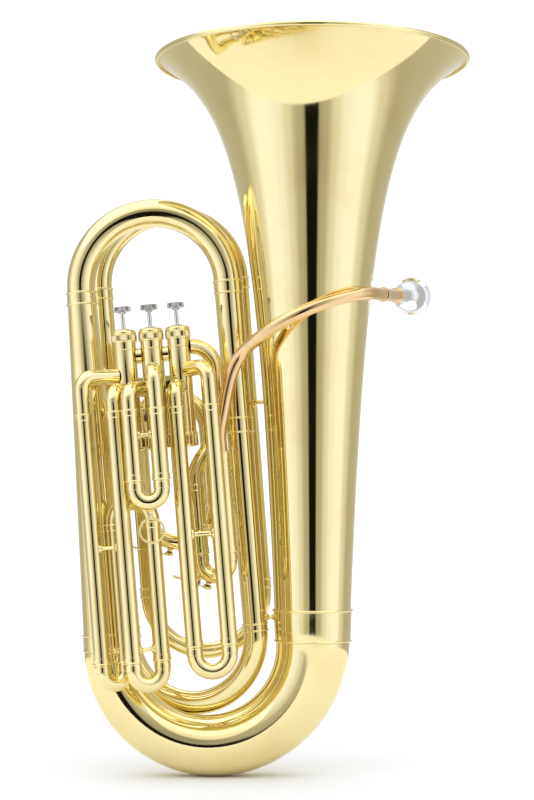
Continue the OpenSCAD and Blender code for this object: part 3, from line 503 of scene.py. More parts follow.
def ferrule_outline(r_low, r_high, low, high):
    """A joint ring: a half-round bead at each edge and a thin band between."""
    edge, thick = 1.15, 0.55
    return np.concatenate([[[r_low + 0.12, low]], bead(r_low + thick, low + edge, edge),
                           [[r_low + thick, low + 2 * edge + 0.2], [r_high + thick, high - 2 * edge - 0.2]],
                           bead(r_high + thick, high - edge, edge), [[r_high + 0.12, high]]])


def ring_round(place, outline, steps=64):
    return lean(moved(lathe(outline, steps), place[0], place[1]))


def taper(level, low, high, d_low, d_high):
    return (d_low + (d_high - d_low) * (level - low) / (high - low)) / 2


def make_branch_ferrules():
    left, right, back, last, even = LEFT_TAPER, RIGHT_TAPER, BACK_TAPER, LAST_TAPER, (0, 1, SLEEVE_D, SLEEVE_D)
    rings = [(LEFT_FRONT, LEFT_FRONT_LEVEL, 20, left), (LEFT_FRONT, FRONT_BOW_LEVEL - 16, 16, left),
             (RIGHT_FRONT, FRONT_BOW_LEVEL - 16, 16, right), (RIGHT_FRONT, 393, 19, right),
             (RIGHT_FRONT, INNER_BOW_LEVEL, 10, right), (LEFT_BACK, INNER_BOW_LEVEL, 14, back),
             (LEFT_BACK, BACK_BOW_LEVEL - 14, 14, back), (RIGHT_BACK, BACK_BOW_LEVEL - 14, 14, last),
             (RIGHT_BACK, BACK_CROOK_LEVEL, 12, last), (RISER_LEFT, BACK_CROOK_LEVEL, 12, even),
             (REAR_RIGHT, REAR_CROOK, 12, even)]
    shapes = [ring_round(place, ferrule_outline(taper(low, *size), taper(low + tall, *size), low, low + tall))
              for place, low, tall, size in rings]
    level = bell_level(np.linspace(0, BELL_FERRULE_SHARE, 9))
    outside = np.stack([bell_radius(level) + 1.0, level], axis=-1)[1:-1]
    inside = np.stack([bell_radius(level) + 0.1, level], axis=-1)[::-1]
    low_bead = bead(bell_radius(level[0]) + 1.0, level[0] + 1.5, 1.5)
    high_bead = bead(bell_radius(level[-1]) + 1.0, level[-1] - 1.5, 1.5)
    wide = np.concatenate([low_bead, outside[1:-1], high_bead, inside])
    shapes.append(moved(lathe(wide, 160), x=BELL_X))
    piece("branch_ferrules_skin", shapes)


def sleeve(place, low, high):
    """Fixed outer tube with a band at each end; each band has a bead at its mouth."""
    r, band = SLEEVE_D / 2, BAND_D / 2
    outline = np.concatenate([
        [[SLEEVE_ID / 2, low], [band - 0.5, low]], bead(band - 0.3, low + 1.0, 0.9),
        [[band - 0.35, low + 2.2], [band - 0.35, low + BAND_H - 1], [r, low + BAND_H],
         [r, high - BAND_H], [band - 0.35, high - BAND_H + 1], [band - 0.35, high - 2.2]],
        bead(band - 0.3, high - 1.0, 0.9), [[band - 0.5, high], [SLEEVE_ID / 2, high]]])
    return ring_round(place, outline, 56)


def sliding_leg(place, level, top):
    outline = [[BORE / 2, level], [SLEEVE_D / 2 - 0.2, level], [SLEEVE_D / 2, level + 0.3],
               [SLEEVE_D / 2, level + BAND_H - 1.2], [SLEEVE_D / 2 - 0.2, level + BAND_H - 0.4],
               [TUBE_D / 2, level + BAND_H], [TUBE_D / 2, top - 0.4], [TUBE_D / 2 - 0.2, top], [BORE / 2, top]]
    return ring_round(place, outline, 56)


def slide(first, second, level, first_top, second_top):
    crook = half_turn(first, second, level, False, 49)
    return [sliding_leg(first, level, first_top), sliding_leg(second, level, second_top),
            lean(sweep(crook, TUBE_D / 2, TUBE_WALL, 48))]


def make_slides():
    low = {"first": FIRST_CROOK + SLIDE_STOP, "second": SECOND_CROOK + SLIDE_STOP,
           "third": THIRD_CROOK + SLIDE_STOP, "main": MAIN_CROOK + SLIDE_STOP}
    fixed = {
        "first_slide_sleeves": [(FIRST_LEFT, low["first"], SLEEVE_TOP), (FIRST_RIGHT, low["first"], SLEEVE_TOP)],
        "second_slide_sleeves": [(SECOND_LEFT, low["second"], SLEEVE_TOP),
                                 (SECOND_RIGHT, low["second"], SLEEVE_TOP)],
        "third_slide_sleeves": [(THIRD_A, low["third"], SLEEVE_TOP), (THIRD_C, low["third"], SLEEVE_TOP),
                                (THIRD_B, low["third"], THIRD_RETURN), (THIRD_D, low["third"], THIRD_RETURN)],
        "main_slide_sleeves": [(MAIN_RIGHT, low["main"], MAIN_RIGHT_TOP), (MAIN_LEFT, low["main"], MAIN_LEFT_TOP)]}
    for name, tubes in fixed.items():
        piece(name + "_skin", [sleeve(*tube) for tube in tubes])
    third_top = THIRD_CROOK + 142
    moving = {
        "first_slide": (FIRST_LEFT, FIRST_RIGHT, FIRST_CROOK, FIRST_CROOK + 145, FIRST_CROOK + 145),
        "second_slide": (SECOND_LEFT, SECOND_RIGHT, SECOND_CROOK, SLEEVE_TOP - 12, SLEEVE_TOP - 12),
        "third_slide_long": (THIRD_A, THIRD_B, THIRD_CROOK, third_top, third_top),
        "third_slide_short": (THIRD_C, THIRD_D, THIRD_CROOK, third_top, third_top),
        "main_tuning_slide": (MAIN_LEFT, MAIN_RIGHT, MAIN_CROOK, MAIN_LEFT_TOP - 12, MAIN_RIGHT_TOP - 12)}
    for name, size in moving.items():
        piece(name + "_skin", slide(*size), body=name)
    bend = half_turn(THIRD_B, THIRD_D, THIRD_RETURN, True, 41)
    piece("third_slide_return_skin", [lean(sweep(bend, SLEEVE_D / 2, TUBE_WALL, 48))])


def make_elbows():
    foot = SLEEVE_TOP - 6
    groups = {
        "first_slide_elbows": [(FIRST_LEFT, 1, foot, LEFT_PORT, 13), (FIRST_RIGHT, 1, foot, RIGHT_PORT, 14)],
        "second_slide_elbows": [(SECOND_LEFT, 2, foot, LEFT_PORT, 14), (SECOND_RIGHT, 2, foot, RIGHT_PORT, 14)],
        "third_slide_elbows": [(THIRD_A, 3, foot, LONG_PORT, 14), (THIRD_C, 3, foot, LEFT_PORT, 14),
                               (REAR_LEFT, 3, REAR_CROOK, EXIT_PORT, 14)]}
    for name, bends in groups.items():
        shapes = [lean(sweep(elbow(leg, valve_at(number), low, level, bend_r), TUBE_D / 2, TUBE_WALL, 48))
                  for leg, number, low, level, bend_r in bends]
        piece(name + "_skin", shapes)


# ---- Mouth end ----

def make_entry_bend():
    """S-shaped rise past the first valve's foot, then over and into its top port."""
    low, high = MAIN_LEFT_TOP + 2, CASING_LOW + 22
    t = np.linspace(0, 1, 40)[:, None]
    share = (1 - np.cos(np.pi * t)) / 2
    rise = np.concatenate([MAIN_LEFT + (ENTRY_LEG - MAIN_LEFT) * share, low + 2 + (high - low - 4) * t], axis=1)
    path = np.concatenate([[np.append(MAIN_LEFT, MAIN_LEFT_TOP - 6)], [np.append(MAIN_LEFT, low)], rise,
                           elbow(ENTRY_LEG, valve_at(1), high, ENTRY_PORT, 28)])
    piece("entry_bend_skin", [lean(sweep(path, TUBE_D / 2, TUBE_WALL, 48))])


WRAP_START, WRAP_END = math.radians(210), math.radians(340)
WRAP_LOW, WRAP_HIGH, WRAP_LEAD_IN = 487, 556, 18
POST_SHARE = 0.25    # how far along the wrap the leadpipe's post stands
MOUTH_DIRECTION = np.array([-math.sin(WRAP_END), math.cos(WRAP_END), 0.08])
MOUTH_DIRECTION /= np.linalg.norm(MOUTH_DIRECTION)


def wrap_point(t):
    """Round the front of the bell, a steady gap away from it, rising ever more slowly."""
    level = WRAP_LOW + (WRAP_HIGH - WRAP_LOW) * (1 - (1 - t) ** 2)
    reach = bell_radius(level) + LEADPIPE_GAP + LEADPIPE_D / 2 + WRAP_LEAD_IN * (1 - t) ** 3
    angle = WRAP_START + (WRAP_END - WRAP_START) * t
    return np.array([BELL_X + reach * math.cos(angle), reach * math.sin(angle), level])


def smooth_path(knots, steps):
    """Curve through given points whose slope at each is half the way from the last to the next."""
    padded = np.concatenate([knots[:1], knots, knots[-1:]])
    t = np.linspace(0, 1, steps, endpoint=False)[:, None]
    parts = []
    for a, b, c, d in zip(padded, padded[1:], padded[2:], padded[3:]):
        parts.append(0.5 * (2 * b + (c - a) * t + (2 * a - 5 * b + 4 * c - d) * t**2
                            + (3 * b - a - 3 * c + d) * t**3))
    return np.concatenate(parts + [knots[-1:]])


def leadpipe_knots():
    start = [leaned(np.append(MAIN_RIGHT, level)) for level in (MAIN_RIGHT_TOP - 6, MAIN_RIGHT_TOP + 20)]
    rise = [leaned(np.append(MAIN_RIGHT + [6, 0], 417)), np.array([16.0, -43.0, 463.0])]
    wrap = [wrap_point(t) for t in np.linspace(0, 1, 9)]
    return np.array(start + rise + wrap + [wrap[-1] + 12 * MOUTH_DIRECTION])


LEADPIPE_END = leadpipe_knots()[-1]


def make_mouth_end():
    path = smooth_path(leadpipe_knots(), 12)
    share = np.minimum(1, np.arange(len(path)) / 56)
    width = (TUBE_D / 2 - 0.6) + (LEADPIPE_D / 2 - TUBE_D / 2 + 0.6) * share
    piece("leadpipe_skin", [sweep(path, width, TUBE_WALL, 44)], "rose_brass")
    r, pipe, end = RECEIVER_D / 2, LEADPIPE_D / 2, RECEIVER_L
    outline = np.concatenate([
        [[pipe - TUBE_WALL, 0], [pipe + 0.4, 0]], bead(pipe + 0.3, 1.2, 1.2),
        [[pipe + 0.7, 4], [r - 1, 20], [r - 1, end - 13]],
        bead(r - 1, end - 10, 1.1), [[r - 1, end - 8.6], [r - 1, end - 6]], bead(r - 1, end - 4.6, 1.1),
        [[r - 1, end - 3.2], [r - 0.6, end - 3]], bead(r - 0.6, end - 1.4, 1.3),
        [[SHANK_D / 2 + 0.3, end], [SHANK_D / 2 + 0.05, end - 0.3], [SHANK_D / 2 + 0.05, end - SHANK_DEPTH - 2],
         [pipe - 1.4, end - SHANK_DEPTH - 3]]])
    piece("receiver_skin", [set_along(lathe(outline), LEADPIPE_END, MOUTH_DIRECTION)], "rose_brass")
    rim_at = LEADPIPE_END + RECEIVER_L * MOUTH_DIRECTION
    piece("mouthpiece_skin", [set_along(lathe(mouthpiece_outline(), 110), rim_at, MOUTH_DIRECTION)], "silver_plate",
          "mouthpiece")


def mouthpiece_outline():
    """Shank, rounded body, rim, cup and throat of the mouthpiece."""
    r, reach, shank = MOUTHPIECE_D / 2, MOUTHPIECE_REACH, SHANK_D / 2
    body = np.array([[shank + 0.4, 1], [7.4, reach * 0.2], [8.2, reach * 0.34], [9, reach * 0.42],
                     [11.5, reach * 0.5], [15.5, reach * 0.6], [18.4, reach * 0.74], [19.4, reach * 0.84],
                     [19.8, reach * 0.9]])
    rim = np.array([[r - 0.7, reach - 5.4], [r, reach - 3.6], [r - 0.5, reach - 1.4], [r - 2.4, reach - 0.12],
                    [r - 4, reach], [r - 5.4, reach - 0.8], [r - 6.2, reach - 2.6], [r - 7, reach - 10],
                    [r - 9.5, reach - 22], [r - 15, reach - 34], [4.2, reach - 40]])
    body, rim = smooth_path(body, 8), smooth_path(rim, 8)
    return np.concatenate([[[4.4, -SHANK_DEPTH], [shank, -SHANK_DEPTH], [shank, 0.4]], body, rim,
                           [[3.9, reach - 44], [4.4, reach * 0.2]]])


# ---- Valves ----

PISTON_HIGH = CASING_HIGH - 2
PISTON_LOW = CASING_LOW + 28
CAP_TOP = CASING_HIGH + 10
FELT_H = 1.5
BUTTON_LOW = CAP_TOP + FELT_H + PISTON_TRAVEL + 0.5
SPRING_LOW = CASING_LOW - 6.15


def knurled(profile, inner_r, low, high, ridges=60, depth=0.32):
    """A turned shape whose outside is cut into upright ridges between two heights."""
    steps = ridges * 4
    points, faces = lathe(profile, steps)
    angle = np.arctan2(points[:, 1], points[:, 0])
    radius = np.hypot(points[:, 0], points[:, 1])
    cut = (radius > inner_r) & (points[:, 2] > low) & (points[:, 2] < high)
    points[:, :2] *= np.where(cut, 1 - depth * (0.5 + 0.5 * np.cos(ridges * angle)) / radius, 1)[:, None]
    return points, faces


def cap_outlines():
    """The top cap is domed over a knurled skirt, and the bottom cap is a shallow knurled dish."""
    r, high, low = CASING_D / 2, CASING_HIGH, CASING_LOW
    dome = np.radians(np.linspace(0, 90, 10))
    shoulder = np.stack([r - 3 + 4.2 * np.cos(dome), CAP_TOP - 3.6 + 3.6 * np.sin(dome)], axis=-1)
    top = np.concatenate([
        [[r + 0.05, high - 5]], bead(r + 1.1, high - 4.2, 0.75), [[r + 1.1, high - 3.2], [r + 1.5, high - 2.7],
         [r + 1.55, high + 3.4], [r + 1.1, high + 3.9]], bead(r + 0.9, high + 4.8, 0.8), shoulder,
        [[STEM_D / 2 + 2.6, CAP_TOP], [STEM_D / 2 + 0.5, CAP_TOP], [STEM_D / 2 + 0.5, CAP_TOP - 1.2],
         [r - 3.4, CAP_TOP - 1.2], [r - 1.4, CAP_TOP - 3.4], [r - 1.4, high], [r + 0.05, high]]])
    bottom = np.concatenate([
        [[r + 0.05, low], [r - 1.4, low], [r - 1.4, low - 7], [3, low - 8.8], [3, low - 10], [r - 2.5, low - 9.3]],
        bead(r + 0.6, low - 7.2, 0.9), [[r + 0.9, low - 6], [r + 1.5, low - 5.4], [r + 1.55, low + 4.2],
        [r + 1.1, low + 4.8]], bead(r + 1.0, low + 6.4, 0.8), [[r + 0.05, low + 8]]])
    return top, bottom


def helix(radius, rise, turns):
    """Open coil: round the axis at a steady radius, rising evenly, with a flat turn at each end."""
    angle = np.linspace(0, 2 * np.pi * turns, turns * 28)
    share = np.clip((angle / (2 * np.pi) - 0.8) / (turns - 1.6), 0, 1)
    return np.stack([radius * np.cos(angle), radius * np.sin(angle), rise * share], axis=-1)


def button_outline():
    """Turned button: a short foot, an upright side and a shallow dish on top for the inlay."""
    r, low = BUTTON_D / 2, BUTTON_LOW
    edge = np.radians(np.linspace(0, 120, 9))
    rim = np.stack([r - 0.9 + 0.9 * np.cos(edge), low + 7.1 + 0.9 * np.sin(edge)], axis=-1)
    return np.concatenate([[[0.01, low], [STEM_D / 2 + 1.2, low], [STEM_D / 2 + 1.6, low + 0.5],
                            [STEM_D / 2 + 1.9, low + 1.4], [r - 3.4, low + 2.0], [r - 0.9, low + 2.2],
                            [r - 0.3, low + 2.6], [r - 0.3, low + 3.0], [r, low + 3.1], [r, low + 3.6],
                            [r, low + 5], [r, low + 6.4]], rim,
                           [[r - 2.2, low + 7.5], [r - 2.6, low + 6.9], [0.01, low + 6.9]]])


def pearl_material():
    """Mother-of-pearl inlay: pale layers that turn slightly pink and green."""
    material, tree, shader = new_material("pearl")
    tint = tree.nodes.new("ShaderNodeValToRGB")
    for element, colour in zip(tint.color_ramp.elements, ((0.60, 0.66, 0.62, 1), (0.90, 0.84, 0.86, 1))):
        element.color = colour
    feed(tree, tint.inputs["Fac"], noise(tree, own_place(tree), 240, distortion=2.2))
    for socket, value in (("Roughness", 0.16), ("Coat Weight", 0.6), ("Base Color", tint.outputs["Color"])):
        feed(tree, shader.inputs[socket], value)
    return material


def make_valves():
    pearl = pearl_material()
    top, bottom = cap_outlines()
    on_valve = lambda shape, number: lean(moved(shape, *valve_at(number)))
    r = CASING_D / 2
    for number in (1, 2, 3):
        body = f"piston_{number}"
        casing = np.concatenate([[[r - 1, CASING_LOW], [r, CASING_LOW], [r, CASING_LOW + 12]],
                                 bead(r - 0.1, CASING_LOW + 13.2, 0.7),
                                 [[r, CASING_LOW + 15], [r, CASING_HIGH - 15]],
                                 bead(r - 0.1, CASING_HIGH - 13.2, 0.7),
                                 [[r, CASING_HIGH - 12], [r, CASING_HIGH], [r - 1, CASING_HIGH]]])
        piece(f"valve_casing_{number}_skin", [on_valve(lathe(casing, 88), number)])
        stem_r, low = STEM_D / 2, PISTON_HIGH
        stem = np.array([[0.01, low], [stem_r, low], [stem_r, BUTTON_LOW - 3.4], [stem_r - 0.5, BUTTON_LOW - 3.0],
                         [stem_r - 0.5, BUTTON_LOW - 2.2], [stem_r, BUTTON_LOW - 1.8], [stem_r, BUTTON_LOW],
                         [0.01, BUTTON_LOW]])
        piece(f"stem_{number}_skin", [on_valve(lathe(stem, 40), number)], "nickel_silver", body)
        button = knurled(button_outline(), BUTTON_D / 2 - 0.15, BUTTON_LOW + 3, BUTTON_LOW + 7.4, 36, 0.7)
        piece(f"button_{number}_skin", [on_valve(button, number)], "silver_plate", body, BUTTON_METAL)
        inlay_r = BUTTON_D / 2 - 3.0
        across = np.linspace(0.01, 1, 10)
        dish = np.stack([inlay_r * across, BUTTON_LOW + 7.0 + 0.28 * across**2], axis=-1)
        under = np.array([[inlay_r, BUTTON_LOW + 6.95], [0.01, BUTTON_LOW + 6.95]])
        piece(f"button_inlay_{number}", [on_valve(lathe(np.concatenate([dish, under]), 64), number)],
              "silver_plate", body, pearl, stands_in=False)
        coil = helix(r - 4, PISTON_LOW - CASING_LOW + 4.8, 7)
        spring = piece(f"valve_spring_{number}_skin",
                       [on_valve(moved(sweep(coil, 0.55, 0.3, 10), z=SPRING_LOW + 0.55), number)], "spring_steel")
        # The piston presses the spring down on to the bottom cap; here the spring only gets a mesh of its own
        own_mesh(spring)
    ridged = {"top": knurled(top, r + 0.8, CASING_HIGH - 3, CASING_HIGH + 3.6),
              "bottom": knurled(bottom, r + 0.8, CASING_LOW - 6, CASING_LOW + 4.6)}
    for end, cap in ridged.items():
        piece(end + "_caps_skin", [on_valve(cap, number) for number in (1, 2, 3)])
    felt = np.array([[STEM_D / 2 + 0.6, CAP_TOP], [STEM_D / 2 + 3.8, CAP_TOP], [STEM_D / 2 + 4.1, CAP_TOP + 0.5],
                     [STEM_D / 2 + 4.0, CAP_TOP + 1.2], [STEM_D / 2 + 3.6, CAP_TOP + FELT_H],
                     [STEM_D / 2 + 0.9, CAP_TOP + FELT_H], [STEM_D / 2 + 0.6, CAP_TOP + 1.1]])
    piece("cap_felts_skin", [on_valve(lathe(felt, 60), n) for n in (1, 2, 3)], "felt")


def make_pull_ring():
    """A wire ring, a circle swept by a smaller circle, under a waisted post."""
    middle = (SECOND_LEFT + SECOND_RIGHT) / 2
    half = np.linalg.norm(SECOND_RIGHT - SECOND_LEFT) / 2
    foot = SECOND_CROOK - half - TUBE_D / 2
    ring_r, wire = 15 - 1.3, 1.3
    turn = np.linspace(0, 2 * np.pi, 73)[:-1]
    tube = np.linspace(0, 2 * np.pi, 20, endpoint=False)
    reach = ring_r + wire * np.cos(tube)[None]
    ring = np.stack([reach * np.cos(turn)[:, None], np.broadcast_to(wire * np.sin(tube), (72, 20)),
                     reach * np.sin(turn)[:, None]], axis=-1).reshape(-1, 3)
    faces = outward(ring, grid_faces(72, 20))
    post = np.array([[0.01, foot - 9.4], [1.6, foot - 9.2], [2.2, foot - 8], [1.5, foot - 5], [1.5, foot - 3.4],
                     [2.3, foot - 1.6], [3.6, foot - 0.4], [4.0, foot + 0.6], [0.01, foot + 0.6]])
    shapes = [lean((ring + [middle[0], middle[1], foot - 8 - 15], faces)), lean(moved(lathe(post, 40), *middle))]
    piece("pull_ring_skin", shapes, body="second_slide")


# ---- Knuckles, braces and water keys ----

def plate(outline, low, high, rounding):
    """A flat part: the outline, drawn in by the rounding at both faces and closed to its middle."""
    outline = np.asarray(outline, float)
    along = np.roll(outline, -1, axis=0) - np.roll(outline, 1, axis=0)
    away = np.stack([along[:, 1], -along[:, 0]], axis=-1) / np.linalg.norm(along, axis=1)[:, None]
    middle = outline.mean(axis=0)
    inset, closed = outline - rounding * away, middle + 0.001 * (outline - middle)
    rows = [(closed, low), (inset, low), (outline - 0.3 * rounding * away, low + 0.3 * rounding),
            (outline, low + rounding), (outline, high - rounding),
            (outline - 0.3 * rounding * away, high - 0.3 * rounding), (inset, high), (closed, high)]
    points = np.concatenate([np.column_stack([flat, np.full(len(flat), level)]) for flat, level in rows])
    return points, outward(points, grid_faces(len(rows), len(outline)))


def box(low, high, rounding):
    """A block with rounded edges, its outline cut into short steps."""
    (x0, y0, z0), (x1, y1, z1) = low, high
    corners = np.array([[x0, y0], [x1, y0], [x1, y1], [x0, y1]])
    share = np.linspace(0, 1, 5)[:-1, None]
    sides = [corners[i] + share * (corners[(i + 1) % 4] - corners[i]) for i in range(4)]
    return plate(np.concatenate(sides), z0, z1, rounding)


def make_knuckles():
    """The bores that join neighbouring valves, and the plates that tie the casings together."""
    shapes = []
    for number in (1, 2):
        right, left = valve_at(number), valve_at(number + 1)
        reach = CASING_D / 2 - 0.7
        ends = np.array([[right[0] - reach, right[1], 490], [left[0] + reach, left[1], 490]])
        shapes.append(sweep(np.linspace(ends[0], ends[1], 3), TUBE_D / 2, 1.4, 48))
        for level in (CASING_LOW + 22, 449):
            corners = (left[0] + reach, right[1] - 3, level), (right[0] - reach, right[1] + 3, level + 16)
            shapes.append(box(*corners, 0.8))
    piece("valve_knuckles_skin", [lean(shape) for shape in shapes])


def turned_rod(start, end, first_face, second_face, rod, foot):
    """A level rod whose two feet spread out over the faces that they are soldered to.
    Each face gives how far out it stands for a sideways and an upright offset."""
    outline = [(-0.8, 0.01), (-0.8, foot - 0.3), (-0.2, foot), (0.8, foot), (1.1, foot - 0.35), (1.35, foot - 1.1),
               (1.8, rod + 0.9), (2.4, rod + 0.45), (3.2, rod + 0.12), (4.2, rod)]
    span = np.linalg.norm(end - start)
    forward = (end - start) / span
    sideways = np.array([-forward[1], forward[0], 0.0])
    turn = np.linspace(0, 2 * np.pi, 36, endpoint=False)
    rows = []
    for near in (True, False):
        for step, radius in (outline if near else outline[::-1]):
            across, up = radius * np.cos(turn), radius * np.sin(turn)
            stands = step + (first_face if near else second_face)(across, up)
            reach = stands if near else span - stands
            rows.append(start + reach[:, None] * forward + across[:, None] * sideways + up[:, None] * [0, 0, 1])
    points = np.concatenate(rows)
    return points, outward(points, grid_faces(len(rows), len(turn)))


def round_face(diameter):
    return lambda across, up: np.sqrt((diameter / 2) ** 2 - across**2)


def brace(first, second, level, first_d, second_d, rod_d=4.5):
    return turned_rod(np.append(first, level), np.append(second, level), round_face(first_d), round_face(second_d),
                      rod_d / 2, 1.1 * rod_d)


def bell_brace(place, level, first_d):
    """From a leaning branch to the bell, whose face falls back as it widens."""
    start = leaned(np.append(place, level))
    face = lambda across, up: np.sqrt(bell_radius(start[2] + up) ** 2 - across**2)
    return turned_rod(start, np.array([BELL_X, 0.0, start[2]]), round_face(first_d), face, 2.5, 5)


def make_braces():
    left_d, right_d, back_d, last_d = (lambda level, size=size: 2 * taper(level, *size) for size in
                                       (LEFT_TAPER, RIGHT_TAPER, BACK_TAPER, LAST_TAPER))
    low = THIRD_CROOK + SLIDE_STOP + 14
    between = [(FIRST_LEFT, FIRST_RIGHT, 281, 6), (THIRD_A, THIRD_C, 273, 4.5), (THIRD_A, THIRD_B, low, 4.5),
               (THIRD_C, THIRD_D, low, 4.5), (SECOND_LEFT, SECOND_RIGHT, SLEEVE_TOP - 30, 4.5),
               (MAIN_LEFT, MAIN_RIGHT, MAIN_CROOK + 40, 4.5)]
    piece("slide_braces_skin", [lean(brace(first, second, level, SLEEVE_D, SLEEVE_D, rod))
                                for first, second, level, rod in between])
    shapes = [lean(brace(LEFT_FRONT, THIRD_A, 385, left_d(385), SLEEVE_D)),
              lean(brace(RIGHT_FRONT, REAR_RIGHT, 350, right_d(350), SLEEVE_D)),
              lean(brace(LEFT_FRONT, LEFT_BACK, 480, left_d(480), back_d(480))),
              bell_brace(RIGHT_FRONT, 178.5, right_d(178.5)),
              bell_brace(RIGHT_BACK, 430, last_d(430))]
    post = wrap_point(POST_SHARE)
    bell_face = lambda across, up: np.sqrt(bell_radius(post[2] + up) ** 2 - across**2)
    pipe_face = lambda across, up: np.sqrt(np.maximum((LEADPIPE_D / 2) ** 2 - (0.8 * up + 0.6 * across) ** 2, 1))
    shapes.append(turned_rod(post, np.array([BELL_X, 0.0, post[2]]), pipe_face, bell_face, 2.5, 4.5))
    piece("body_braces_skin", shapes)


def on_crook(shape, first, second, level, angle):
    """Stands a shape on the outside of a crook: +Z out of the tube, at an angle round the bend."""
    half, tilt = (second - first) / 2, math.radians(90 - angle)
    x, y, z = (shape[0] + [0, 0, np.linalg.norm(half) + TUBE_D / 2]).T
    x, z = x * math.cos(tilt) + z * math.sin(tilt), z * math.cos(tilt) - x * math.sin(tilt)
    forward = half / np.linalg.norm(half)
    flat = (first + second) / 2 + x[:, None] * forward + y[:, None] * [-forward[1], forward[0]]
    return lean((np.column_stack([flat, level + z]), shape[1]))


def standing(shape, x, z):
    """Turns a flat shape on its edge, its own Z axis along +Y."""
    px, py, pz = shape[0].T
    points = np.column_stack([px + x, pz, py + z])
    return points, outward(points, shape[1])


def saddle_strap(reach):
    """A strap bent over the crook under the ears: the same height above the tube all over."""
    x = np.concatenate([[10.0], np.linspace(10, 18, 9), [18.0]])[:, None]
    y = np.concatenate([np.linspace(-5.6, 5.6, 15), np.linspace(5.6, -5.6, 15)])[None]
    above = np.concatenate([np.full(15, 0.9), np.full(15, -0.6)])[None]
    tube = TUBE_D / 2
    ring = reach + np.sqrt((tube + above) ** 2 - y**2)
    z = np.sqrt(ring**2 - x**2) - reach - tube
    points = np.stack(np.broadcast_arrays(x, y, z), axis=-1).copy()
    for end in (0, -1):
        points[end] = points[end].mean(axis=0)
    points = points.reshape(-1, 3)
    return points, outward(points, grid_faces(11, 30, closed=False))


def water_key(name, first, second, level, angle, body):
    """A nipple on the crook, a saddle with two ears, and a sprung lever that holds a cork on the nipple."""
    pivot_x, pivot_z, reach = 14, 6.4, np.linalg.norm(second - first) / 2
    put = lambda shape: on_crook(shape, first, second, level, angle)
    nipple = np.array([[1.5, -3], [4.4, -3], [4.6, -1.2], [4.2, -0.5], [3.4, 0.2], [3.0, 1.0], [2.9, 2.4],
                       [2.5, 3.0], [1.5, 3.0]])
    turn = np.radians(np.linspace(-12, 192, 18))
    ear = np.concatenate([np.stack([2.5 * np.cos(turn), 2.5 * np.sin(turn)], axis=-1),
                          [[-2.7, -3], [-3.0, -7], [-3.2, -12.6], [0, -12.6], [3.2, -14.6], [3.1, -9], [2.7, -4]]])
    ears = [standing(plate(ear, side * 4.5 - 0.6, side * 4.5 + 0.6, 0.2), pivot_x, pivot_z) for side in (-1, 1)]
    screw = np.array([[0.01, -6.5], [1.2, -6.5], [1.8, -6.2], [1.9, -5.7], [1.9, -5.2], [1.0, -5.1], [1.0, 5.0],
                      [1.3, 5.1], [1.3, 5.7], [0.9, 6.1], [0.01, 6.2]])
    saddle = [lathe(nipple, 40), *ears, saddle_strap(reach), standing(lathe(screw, 28), pivot_x, pivot_z)]
    piece(f"{name}_saddle_skin", [put(shape) for shape in saddle], body=body[0])

    cup = np.array([[0.01, 6.02], [4.0, 6.0], [4.02, 4.0], [4.6, 3.98], [4.9, 4.2], [5.0, 4.7], [5.0, 6.6],
                    [4.7, 7.3], [4.0, 7.75], [2.5, 8.0], [0.01, 8.05]])
    share = np.linspace(0, 1, 14)
    half = 2.1 - 0.45 * np.sin(np.pi * share)
    run = -1 + 38 * share
    bar = np.concatenate([np.stack([run, -half], axis=-1), np.stack([run[::-1], half[::-1]], axis=-1)])
    round_pad = np.linspace(0, 2 * np.pi, 40, endpoint=False)
    pad = np.stack([38 + 6 * np.cos(round_pad), 6 * np.sin(round_pad)], axis=-1)
    boss = np.array([[1.05, -3.6], [1.8, -3.6], [2.0, -3.4], [2.0, 3.4], [1.8, 3.6], [1.05, 3.6]])
    lever = [lathe(cup, 44), plate(bar, 6.1, 7.6, 0.35), plate(pad, 6.0, 7.9, 0.7),
             standing(lathe(boss, 32), pivot_x, pivot_z)]
    piece(f"{name}_lever_skin", [put(shape) for shape in lever], body=body[1])
    cork = np.array([[0.01, 3.0], [3.5, 3.0], [3.9, 3.25], [3.97, 3.7], [3.97, 5.97], [0.01, 5.97]])
    piece(f"{name}_cork_skin", [put(lathe(cork, 40))], "cork", body[1])
    coils = []
    for side in (-1, 1):
        angle_round = np.linspace(-0.5 * np.pi, 4.0 * np.pi, 90)
        coil = np.stack([pivot_x + 2.7 * np.cos(angle_round), side * (2.5 + 1.3 * np.linspace(0, 1, 90)),
                         pivot_z + 2.7 * np.sin(angle_round)], axis=-1)
        leg = coil[0] + np.linspace([-6.5, 0, 0], [-0.6, 0, 0], 6)
        coils.append(sweep(np.concatenate([leg, coil]), 0.3, 0.15, 12))
    piece(f"{name}_spring_skin", [put(shape) for shape in coils], "spring_steel", body[0])


make_bell()
make_bottom_bow()
make_branches()
make_branch_ferrules()
make_slides()
make_elbows()
make_entry_bend()
make_mouth_end()
make_valves()
make_pull_ring()
make_knuckles()
make_braces()
water_key("main_key", MAIN_LEFT, MAIN_RIGHT, MAIN_CROOK, 247, ("main_tuning_slide", "main_key"))
water_key("rear_key", REAR_LEFT, REAR_RIGHT, REAR_CROOK, 253, ("root", "rear_key"))


# ---- Camera, light and floor ----

CAMERA_AT, CAMERA_AIM, CAMERA_LENS = (0.057, -2.203, 0.324), (0.057, 0, 0.435), 85
FLOOR_R = 1.05


def make_camera():
    camera = bpy.data.objects.new("camera", bpy.data.cameras.new("camera"))
    camera.data.lens, camera.data.sensor_width = CAMERA_LENS, 36
    camera.location = CAMERA_AT
    camera.rotation_euler = (Vector(CAMERA_AIM) - camera.location).to_track_quat("-Z", "Y").to_euler()
    bpy.context.scene.collection.objects.link(camera)
    bpy.context.scene.camera = camera


